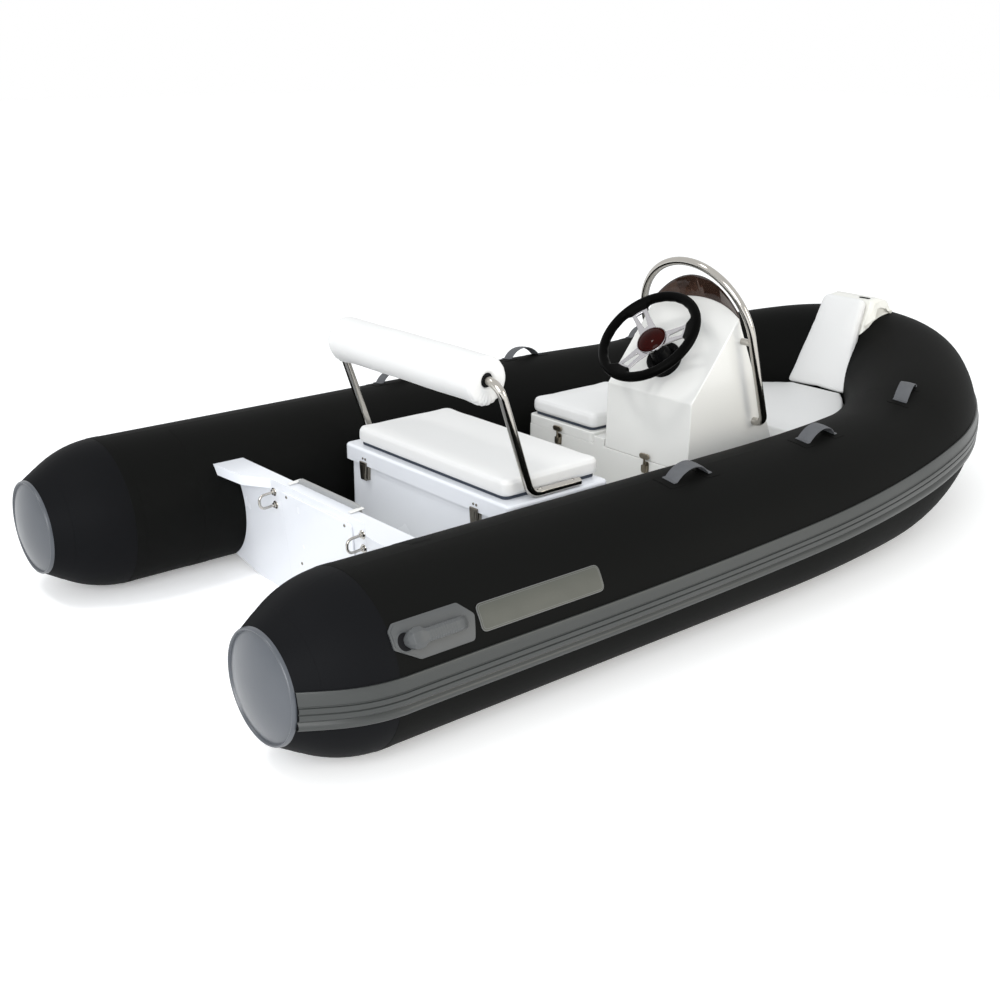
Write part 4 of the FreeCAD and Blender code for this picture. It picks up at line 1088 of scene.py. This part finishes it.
# ---------------------------------------------------------------- grab rail
# One polished stainless tube arches over the console. Its feet turn in to the console's sides, and a
# short stand-off holds each leg higher up. The ends are bonded into the moulding.
console_low, console_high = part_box("console")
console_middle = (console_low[1] + console_high[1]) / 2
side_face = (console_high[1] - console_low[1]) / 2 + 0.0003
rail_lean = math.radians(18.6)
rail_foot = Vector((0.333, console_middle, 0.405))
rail_up = Vector((-math.sin(rail_lean), 0, math.cos(rail_lean)))
rail_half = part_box("grab_rail")[1][1] - console_middle - bar_radius
shoulder_height = 0.689
leg_length = (shoulder_height - 0.405) / rail_up.z
stand_off = 0.280
foot_bend = 0.030


def on_rail(across, up_leg):
    """A point in the rail's own leaning plane."""
    return rail_foot + Vector((0, across, 0)) + rail_up * up_leg


rail_line = rounded_path(
    [on_rail(-side_face, 0), on_rail(-rail_half, 0), on_rail(-rail_half, leg_length)], foot_bend,
)[:-1]
for step in range(49):
    angle = math.pi * step / 48
    rail_line.append(on_rail(-rail_half * math.cos(angle), leg_length + rail_half * math.sin(angle)))
rail_line += rounded_path(
    [on_rail(rail_half, leg_length), on_rail(rail_half, 0), on_rail(side_face, 0)], foot_bend,
)[1:]
rail_pieces = [rod(rail_line, bar_radius)]
for side in (-1, 1):
    ends = [on_rail(side * (rail_half - 0.004), stand_off), on_rail(side * side_face, stand_off)]
    rail_pieces.append(rod(ends, 0.0100))
rail = joined(rail_pieces)
fit_out(rail, "grab_rail_tube", "console_unit", polished_steel, "polished_steel", ["grab_rail"], smooth=50)

# ---------------------------------------------------------------- steering wheel
# The wheel has a soft black moulded rim with a lug at each spoke, three slotted spokes of polished alloy
# and a domed hub cap. It turns on a short black column that comes out of a round bezel on the dash.
dash_lean, wheel_lean = math.radians(39), math.radians(47)
dash_up = Vector((math.sin(dash_lean), 0, math.cos(dash_lean)))
dash_out = Vector((-math.cos(dash_lean), 0, math.sin(dash_lean)))
wheel_up = Vector((math.sin(wheel_lean), 0, math.cos(wheel_lean)))
wheel_out = Vector((-math.cos(wheel_lean), 0, math.sin(wheel_lean)))
dash_foot = Vector((console_low[0], console_middle, 0.508))
hub_up, hub_stand = 0.131, 0.122
wheel_centre = dash_foot + dash_up * hub_up + dash_out * hub_stand
column_length = hub_stand / math.cos(wheel_lean - dash_lean)
wheel_frame = Matrix.Translation(wheel_centre) @ Matrix((
    (0.0, wheel_up.x, wheel_out.x), (-1.0, wheel_up.y, wheel_out.y), (0.0, wheel_up.z, wheel_out.z),
)).to_4x4()
rim_ring = 0.1535
rim_thick = 0.0152
lug_half_turn, lug_depth = 14.2, 0.0175
finger_waves, wave_depth = 24, 0.0006
spoke_turns = (52, 172, 292)
spoke_half_thick = 0.0030
dish, dish_start, dish_run = 0.020, 0.132, 0.085


def wheel_part(piece, name, body, *looks, **more):
    """Carries a piece from the wheel's own frame to its place, and fits it out."""
    piece.data.transform(wheel_frame)
    fit_out(piece, name, body, *looks, **more)


soft_grip = finish(
    "soft_black_grip", (0.0016, 0.0016, 0.0015), (0.0010, 0.0010, 0.0010), 0.06, 0.40, 0.05,
    specular=0.025, grains=[("pebble", 0.0016, 0.00008), ("noise", 0.010, 0.0001)],
)
gloss_black = finish(
    "gloss_black_moulding", (0.0040, 0.0040, 0.0043), (0.0030, 0.0030, 0.0032), 0.05, 0.26, 0.04,
    specular=0.04, grains=[("noise", 0.02, 0.00006)],
)
mirror_alloy = finish(
    "polished_alloy", (0.540, 0.532, 0.552), (0.400, 0.394, 0.410), 0.02, 0.12, 0.05,
    metal=1.0, grains=[("noise", 0.012, 0.00005)],
)
wine_gloss = finish(
    "wine_red_gloss", (0.0300, 0.0012, 0.0006), (0.0110, 0.0006, 0.0004), 0.02, 0.10, 0.03,
    specular=0.06, coat=0.02, grains=[("noise", 0.02, 0.00004)],
)
let_go()
bpy.ops.mesh.primitive_torus_add(
    major_radius=rim_ring, minor_radius=rim_thick, major_segments=180, minor_segments=28,
)
rim = bpy.context.object
for point in rim.data.vertices:
    reach = math.hypot(point.co.x, point.co.y)
    turn = math.degrees(math.atan2(-point.co.x, point.co.y)) % 360
    nearest = min(abs((turn - spoke + 180) % 360 - 180) for spoke in spoke_turns)
    lug = 1 / (1 + math.exp(nearest - lug_half_turn))
    inward = max(0.0, (rim_ring - reach) / rim_thick)
    waves = wave_depth * math.cos(math.radians(turn * finger_waves)) * inward * (1 - lug)
    grown = reach - inward * (lug_depth * lug) + waves
    point.co.x *= grown / reach
    point.co.y *= grown / reach
    point.co.z *= 1 - 0.25 * lug * inward
wheel_part(rim, "wheel_rim", "wheel", soft_grip, "wheel_grip", ["steering_wheel_rim"], smooth=60)

spoke_side = [(0.0275, 0.040), (0.0258, 0.062), (0.0242, 0.092), (0.0256, 0.120), (0.0280, 0.138)]
window_side = [(0.0066, 0.060), (0.0130, 0.114)]
rivet_shape = [(0.0, 0.0014), (0.0018, 0.0012), (0.0026, 0.0002), (0.0026, -0.0008)]
rivet_across, rivet_reach = 0.0125, 0.1335


def wheel_plate(side, half_thick):
    """An even-sided plate in the wheel's plane, from its (half width, reach) points going outwards."""
    outline = [(half, reach, -half_thick) for half, reach in side]
    outline += [(-half, reach, -half_thick) for half, reach in reversed(side)]
    return flat_plate(outline, (0, 0, 2 * half_thick))


spoke_pieces = []
for turn in spoke_turns:
    spoke = wheel_plate(spoke_side, spoke_half_thick)
    window = wheel_plate(window_side, 0.01)
    round_edges(window, is_upright, 0.0035, 4)
    worked(spoke, "BOOLEAN", object=window, operation="DIFFERENCE")
    bpy.data.objects.remove(window, do_unlink=True)
    soften(spoke, 0.0013, 3)
    for point in spoke.data.vertices:
        point.co.z += dish * (point.co.y - dish_start) / dish_run
    rivets = []
    for x in (rivet_across, -rivet_across):
        rivet_line = [(x + out, rivet_reach, spoke_half_thick + rise) for out, rise in rivet_shape]
        rivets.append(spun(rivet_line, (x, rivet_reach, 0), (0, 0, 1), 20))
    for piece in [*rivets, spoke]:
        piece.data.transform(Matrix.Rotation(math.radians(turn), 4, "Z"))
        spoke_pieces.append(piece)
hub_ring_shape = [
    (0.0085, -0.0042), (0.0470, -0.0042), (0.0488, -0.0024), (0.0488, 0.0022), (0.0478, 0.0036),
    (0.0460, 0.0040), (0.0085, 0.0030),
]
cap_shape = [
    (0.0, 0.0225), (0.009, 0.0221), (0.018, 0.0208), (0.0262, 0.0187), (0.0335, 0.0158), (0.0395, 0.0123),
    (0.0438, 0.0086), (0.0466, 0.0052), (0.0470, 0.0030),
]
boss_shape = [
    (0.0085, -0.0180), (0.0205, -0.0180), (0.0225, -0.0165), (0.0228, -0.0135), (0.0212, -0.0120),
    (0.0228, -0.0105), (0.0240, -0.0060), (0.0300, -0.0040), (0.0085, -0.0040),
]
bezel_shape = [
    (0.0, -0.0060), (0.028, -0.0060), (0.034, -0.0052), (0.044, -0.0006), (0.0480, 0.0), (0.0522, -0.0016),
    (0.0548, -0.0056), (0.0556, -0.0120), (0.0556, -0.0385),
]


def lowered(shape, drop):
    return [(reach, rise - drop) for reach, rise in shape]


spokes = joined(spoke_pieces + [turned(lowered(hub_ring_shape, dish), 96, ring=True)])
wheel_part(
    spokes, "wheel_spokes", "wheel", mirror_alloy, "polished_steel", ["steering_wheel_spokes"], smooth=30,
)
hub_cap = turned(lowered(cap_shape, dish), 72)
wheel_part(hub_cap, "wheel_hub_cap", "wheel", wine_gloss, "hub_cap", ["steering_wheel_cap"], smooth=60)
boss = turned(lowered(boss_shape, dish), 60, ring=True)
wheel_part(boss, "wheel_boss", "wheel", gloss_black, "black_plastic", ["steering_wheel_boss"])

bezel_drop = column_length - 0.030
bezel = turned(lowered(bezel_shape, bezel_drop), 72)
wheel_part(
    bezel, "steering_bezel_cover", "console_unit", gloss_black, "black_plastic",
    ["steering_bezel"], smooth=50,
)
sleeve_shape = lowered([(0.0345, -0.0055), (0.0335, 0.002), (0.0300, 0.013), (0.0274, 0.024)], bezel_drop)
sleeve_shape += [
    (0.0264, -0.0640), (0.0256, -0.0630), (0.0256, -0.0600), (0.0264, -0.0590), (0.0252, -0.0405),
    (0.0, -0.0400),
]
wheel_part(
    turned(sleeve_shape, 60), "steering_column_sleeve", "console_unit", gloss_black, "black_plastic",
    ["steering_column"], smooth=40,
)

# ---------------------------------------------------------------- bow seat and step
# A thin vinyl cushion covers the bow deck, shaped to the tubes. A tapering back pad with a sewn edge
# leans on a cream moulded step with a sunken panel in each side. The slot in its top is a thin black
# inlay, painted shade.
deck_low, deck_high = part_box("bow_cushion")


def bow_cushion_form():
    """The deck cushion's plain shape, drawn in a little and with its forward corners rounded in plan."""
    form = cast_of("bow_cushion")
    round_edges(form, lambda edge: is_upright(edge) and edge_middle(edge).x > deck_high[0] - 0.003, 0.045, 6)
    middle = (deck_low[0] + deck_high[0]) / 2
    for point in form.data.vertices:
        point.co.x += -0.002 if point.co.x > middle else 0.002
        point.co.y *= 0.994
        point.co.z = min(point.co.z, deck_high[2] - 0.003)
    return form


def deck_seam(point):
    """The cushion's sides are sewn a little below the top edge."""
    dip = seam_groove(point.z - (deck_high[2] - 0.013), 0.0020, 0.0008)
    return point + Vector((0, math.copysign(dip, point.y), 0)) if abs(point.y) > 0.05 else point


cushion(
    bow_cushion_form(), "bow_deck_cushion", "boat", 0.8, 0.0065, 0.006, deck_low[2] + 0.006, ["bow_cushion"],
    corner=0.012, shape=deck_seam, room=(deck_low, deck_high),
)

pad_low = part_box("bow_back_pad")[0]
pad_back, pad_climb = 0.116, 0.633 - 0.3163
pad_lean = math.atan2(pad_back, pad_climb)
pad_length = pad_climb / math.cos(pad_lean)
pad_frame = Matrix.Translation((pad_low[0], 0, pad_low[2])) @ Matrix.Rotation(pad_lean, 4, "Y")
foot_half, head_half = 0.1320, 0.0860
pad_back_x, pad_front_x = 0.0370, 0.0010
pad_head_z, pad_foot_z = pad_length + 0.009, -0.003
let_go()
bpy.ops.mesh.primitive_cube_add(size=1)
pad = bpy.context.object
for point in pad.data.vertices:
    half, z = (head_half, pad_head_z) if point.co.z > 0 else (foot_half, pad_foot_z)
    x = pad_front_x if point.co.x < 0 else pad_back_x
    point.co = (x, math.copysign(half, point.co.y), z)
round_edges(pad, lambda edge: abs(edge_run(edge).x) > 0.99 and edge_middle(edge).z > 0.1, 0.020, 6)
round_edges(pad, lambda edge: abs(edge_run(edge).x) > 0.99 and edge_middle(edge).z < 0.1, 0.014, 5)
pad.data.transform(pad_frame)


def pad_seam(point):
    """The front panel is sewn to the border along a line just behind its edge, and sags a little there."""
    local = pad_frame.inverted() @ point
    half = foot_half + (head_half - foot_half) * local.z / pad_length
    at_side = half - abs(local.y) < 0.006
    dip = seam_groove(local.x - 0.0155, 0.0022, 0.0014) if at_side or local.z > pad_length - 0.01 else 0.0
    inward = Vector((0, math.copysign(dip, local.y), 0)) if at_side else Vector((0, 0, dip))
    return pad_frame @ (local + inward)


cushion(pad, "bow_pad", "boat", 0.8, 0.0055, 0.010, -1, ["bow_back_pad"], corner=0.011, shape=pad_seam)

cream_gelcoat = finish(
    "cream_gelcoat", (0.815, 0.810, 0.760), (0.790, 0.785, 0.735), 0.20, 0.30, 0.05,
    specular=0.45, coat=0.2, grains=[("noise", 0.05, 0.0002)],
)
step_drop = 0.006
slope_top_z, slope_start_x, slope_run, slope_fall = 0.610, 1.345, 0.055, 0.012
panel_inset, panel_depth = 0.016, 0.006
step = cast_of("bow_step", 1.0)
step.data.transform(Matrix.Translation((0, 0, -step_drop)))
for point in step.data.vertices:
    if point.co.z > slope_top_z:
        point.co.z -= slope_fall * min(1.0, max(0.0, (slope_start_x - point.co.x) / slope_run))
step_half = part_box("bow_step")[1][1]
edit(step, "FACE")
pick(
    step, "FACE",
    lambda face: abs(face.normal.y) > 0.99 and abs(abs(face.calc_center_median().y) - step_half) < 0.002,
)
bpy.ops.mesh.inset(thickness=panel_inset)
bpy.ops.transform.shrink_fatten(value=-panel_depth)
bpy.ops.object.mode_set(mode="OBJECT")
fit_out(soften(step, 0.0045, 4), "bow_step_moulding", "boat", cream_gelcoat, "moulding", ["bow_step"])
# A thin near-black inlay on the step's top is painted shade for its slot.
slot_shade_piece = block((1.312, -0.074, 0.6295), (1.326, -0.028, 0.6325))
round_edges(slot_shade_piece, is_upright, 0.007, 5)
fit_out(slot_shade_piece, "bow_step_slot_shade", "boat", painted_shade_black, "moulding")

# ---------------------------------------------------------------- webbing handles
# Three short handles of grey webbing arch up from the top of each tube. Their ends are welded on over
# black patches of the tube's own fabric.
grey_webbing = finish(
    "grey_webbing", (0.110, 0.114, 0.122), (0.088, 0.092, 0.100), 0.02, 0.62, 0.05,
    specular=0.25, grains=[("weave", 0.0022, 0.00022)],
)
strap_half, strap_foot, strap_rise, strap_wide = 0.075, 0.013, 0.0330, 0.044
strap_lift, patch_reach = 0.0012, 0.072
strap_turn = math.radians(82)
strap_spring = strap_half - strap_foot
arch_radius = (strap_spring ** 2 + strap_rise ** 2) / (2 * strap_rise)


def strap_line(share):
    """Distance along the tube and height over it, from one end of the webbing to the other."""
    x = -strap_half + 2 * strap_half * share
    if abs(x) >= strap_spring:
        return x, strap_lift
    height = math.sqrt(arch_radius ** 2 - x ** 2) - arch_radius + strap_rise
    return x, max(strap_lift, height)


def wrap_on_tube(piece, station, turn):
    """Lays a piece modelled flat (x along, y round, z out) on the port tube's skin."""
    for point in piece.data.vertices:
        x, y, z = point.co
        point.co = on_tube(station + x, turn + math.degrees(y / tube_radius), z)


def bending_plate(outline, low, high, strips=0.010):
    """A plate with an outline in x and y, cut into narrow strips so that it can bend round the tube."""
    piece = flat_plate([(x, y, low) for x, y in outline], (0, 0, high - low))
    edit(piece)
    level = min(y for x, y in outline) + strips
    while level < max(y for x, y in outline) - 0.001:
        bpy.ops.mesh.select_all(action="SELECT")
        bpy.ops.mesh.bisect(plane_co=(0, level, 0), plane_no=(0, 1, 0))
        level += strips
    bpy.ops.object.mode_set(mode="OBJECT")
    return piece


def rounded_outline(corners, radius):
    """An outline in x and y with each corner rounded."""
    points = []
    for before, corner, after in zip([corners[-1]] + corners[:-1], corners, corners[1:] + [corners[0]]):
        corner = Vector(corner)
        arriving = (corner - Vector(before)).normalized()
        leaving = (Vector(after) - corner).normalized()
        reach = radius * math.tan(arriving.angle(leaving) / 2)
        start, end = corner - arriving * reach, corner + leaving * reach
        for step in range(6):
            share = step / 5
            points.append(tuple(start.lerp(corner, share).lerp(corner.lerp(end, share), share)))
    return points


def strap_band(station, skew):
    """The webbing of one handle: its two feet lie on the skin, and its middle stands off it in an arch."""
    outboard, above = tube_section(station)[2:]
    lift = outboard * math.cos(strap_turn) + above * math.sin(strap_turn)
    band = grid_piece(60, 10, lambda along, across: Vector((along, across, 0)))
    for point in band.data.vertices:
        x, height = strap_line(point.co.x)
        across = (point.co.y - 0.5) * strap_wide
        ahead_by = x * math.cos(skew) - across * math.sin(skew)
        round_by = x * math.sin(skew) + across * math.cos(skew)
        edge = 0.0006 if abs(across) > strap_wide / 2 - 0.006 else 0.0
        sag = 0.0012 * math.cos(math.pi * across / strap_wide) * (height > 0.004)
        foot = on_tube(station + ahead_by, math.degrees(strap_turn) + math.degrees(round_by / tube_radius))
        point.co = foot + lift * (height + edge + sag)
    worked(band, "SOLIDIFY", thickness=0.0022, offset=-1)
    edit(band)
    return close_edit(band)


def oblong(half_long, half_wide, radius):
    corners = [
        (-half_long, -half_wide), (half_long, -half_wide), (half_long, half_wide), (-half_long, half_wide),
    ]
    return rounded_outline(corners, radius)


strap_places = {-0.320: 0, 0.250: 0, 0.850: 6}
for number, (station, skew) in enumerate(strap_places.items(), start=1):
    skew = math.radians(skew)
    band = strap_band(station, skew)
    both_sides(band, "strap_%d" % number, grey_webbing, "webbing", ["grab_straps"], smooth=40)
    patches = []
    for end in (-patch_reach, patch_reach):
        patch = bending_plate(oblong(0.030, 0.036, 0.012), -0.0005, 0.0009)
        patch.data.transform(Matrix.Rotation(skew, 4, "Z") @ Matrix.Translation((end, 0, 0)))
        wrap_on_tube(patch, station, math.degrees(strap_turn))
        patches.append(patch)
    both_sides(joined(patches), "strap_patch_%d" % number, black_fabric, "tube_fabric")

# ---------------------------------------------------------------- carrying handles
# A grey moulded rubber handle is glued to each tube aft. Its pad has cut-off corners, and the grip runs
# from a faceted boss at the aft end, with ribs along it and a hollow below for the fingers.
handle_rubber = finish(
    "grey_handle_rubber", (0.078, 0.082, 0.084), (0.060, 0.064, 0.066), 0.10, 0.44, 0.05,
    specular=0.35, grains=[("noise", 0.012, 0.00008), ("pebble", 0.0010, 0.00001)],
)
carry_station, carry_turn = -1.305, 29
pad_top = 0.0045
pad_outline = rounded_outline([
    (-0.114, -0.010), (-0.052, -0.046), (0.098, -0.046), (0.114, 0.010), (0.078, 0.046), (-0.100, 0.046),
    (-0.114, 0.032),
], 0.010)
carry_pad = bending_plate(pad_outline, -0.0005, 0.0040)
carry_recess = bending_plate([(x * 0.955, y * 0.90) for x, y in pad_outline], 0.0036, 0.0050)
handle_sections = [
    (-0.0860, 0.006, 0.000, 0.006), (-0.0840, 0.011, 0.000, 0.018), (-0.0760, 0.019, 0.000, 0.030),
    (-0.0640, 0.022, 0.000, 0.034), (-0.0520, 0.020, 0.010, 0.034), (-0.0440, 0.0145, 0.016, 0.033),
    (-0.0400, 0.0135, 0.018, 0.033),
]
rib_start, rib_end, ribs = -0.036, 0.040, 11
for step in range(ribs * 2 + 1):
    x = rib_start + (rib_end - rib_start) * step / (ribs * 2)
    bulge = 0.0007 if step % 2 else -0.0003
    handle_sections.append((x, 0.0132 + bulge, 0.018, 0.0335 + bulge))
handle_sections += [
    (0.046, 0.0135, 0.016, 0.033), (0.056, 0.0140, 0.008, 0.031), (0.066, 0.0145, 0.000, 0.025),
    (0.080, 0.0135, 0.000, 0.012), (0.086, 0.010, 0.000, 0.006),
]
facets = [
    (-1.0, 0.25), (-1.0, 0.70), (-0.55, 1.0), (0.55, 1.0), (1.0, 0.70), (1.0, 0.25), (0.7, 0.0), (-0.7, 0.0),
]


def grip_place(along, around):
    """A point of the grip, from its (x, half width, underside, top) sections and the facets round them."""
    x, half, under, top = handle_sections[round(along * (len(handle_sections) - 1))]
    y, z = facets[round(around * 8) % 8]
    return Vector((x, y * half, under + (top - under) * z + pad_top))


grip = grid_piece(len(handle_sections) - 1, 8, grip_place)
edit(grip)
bpy.ops.mesh.select_all(action="SELECT")
bpy.ops.mesh.remove_doubles(threshold=0.00002)
pick(grip, "EDGE", lambda edge: edge.is_boundary)
bpy.ops.mesh.edge_face_add()
close_edit(grip)
soften(grip, 0.0012, 2, 25)
eye_x, eye_radius = -0.0820, 0.0202
eye_shape = [
    (0.0196, -0.001), (0.0198, 0.0012), (0.0208, 0.0022), (0.0226, 0.0020), (0.0238, 0.0002),
    (0.0238, -0.001),
]
eye = turned([(reach, pad_top + 0.0001 + out) for reach, out in eye_shape], 40, ring=True)
eye.data.transform(Matrix.Translation((eye_x, 0, 0)))
# A near-black disc round the aft end of the boss is painted shade for the recess there.
boss_shade_rim = []
for turn in range(0, 360, 12):
    angle = math.radians(turn)
    boss_shade_rim.append((eye_x + eye_radius * math.cos(angle), eye_radius * math.sin(angle)))
hollow = bending_plate(boss_shade_rim, 0.0040, 0.0056)
for shape in (carry_pad, carry_recess, grip, eye, hollow):
    wrap_on_tube(shape, carry_station, carry_turn)
pad_pair = joined([carry_pad, carry_recess])
both_sides(pad_pair, "carry_pad", handle_rubber, "handle_rubber", ["carry_handle_pads"])
both_sides(joined([grip, eye]), "carry_grip", handle_rubber, "handle_rubber", ["carry_handles"], smooth=30)
both_sides(hollow, "carry_boss_shade", painted_shade_black, "handle_rubber")

# ---------------------------------------------------------------- side plates
# A thin grey-green moulded plate with round corners and a fine raised border is glued to each tube ahead
# of the carrying handle. It is left bare.
plate_green = finish(
    "grey_green_plate", (0.064, 0.067, 0.056), (0.050, 0.053, 0.044), 0.08, 0.45, 0.05,
    specular=0.35, grains=[("noise", 0.020, 0.00008), ("pebble", 0.0012, 0.00002)],
)
plate_border = finish(
    "grey_plate_border", (0.130, 0.134, 0.134), (0.110, 0.114, 0.114), 0.05, 0.40, 0.05, specular=0.4,
    grains=[("noise", 0.012, 0.00006)],
)
plate_station, plate_turn = -0.990, 28


def plate_layer(inset, low, high):
    """One oblong layer of the plate, set in from its edge, between two heights off the skin."""
    return bending_plate(oblong(0.191 - inset, 0.033 - inset, 0.016 - inset), low, high)


edge_band = plate_layer(0.0, -0.0005, 0.0022)
face_band = plate_layer(0.0016, 0.0018, 0.0026)
line_band = plate_layer(0.0048, 0.0022, 0.0030)
inner_band = plate_layer(0.0056, 0.0026, 0.0031)
for shape in (edge_band, face_band, line_band, inner_band):
    wrap_on_tube(shape, plate_station, plate_turn)
both_sides(joined([edge_band, line_band]), "plate_border", plate_border, "plate", ["name_plates"])
both_sides(joined([face_band, inner_band]), "plate", plate_green, "plate", ["name_plates"])
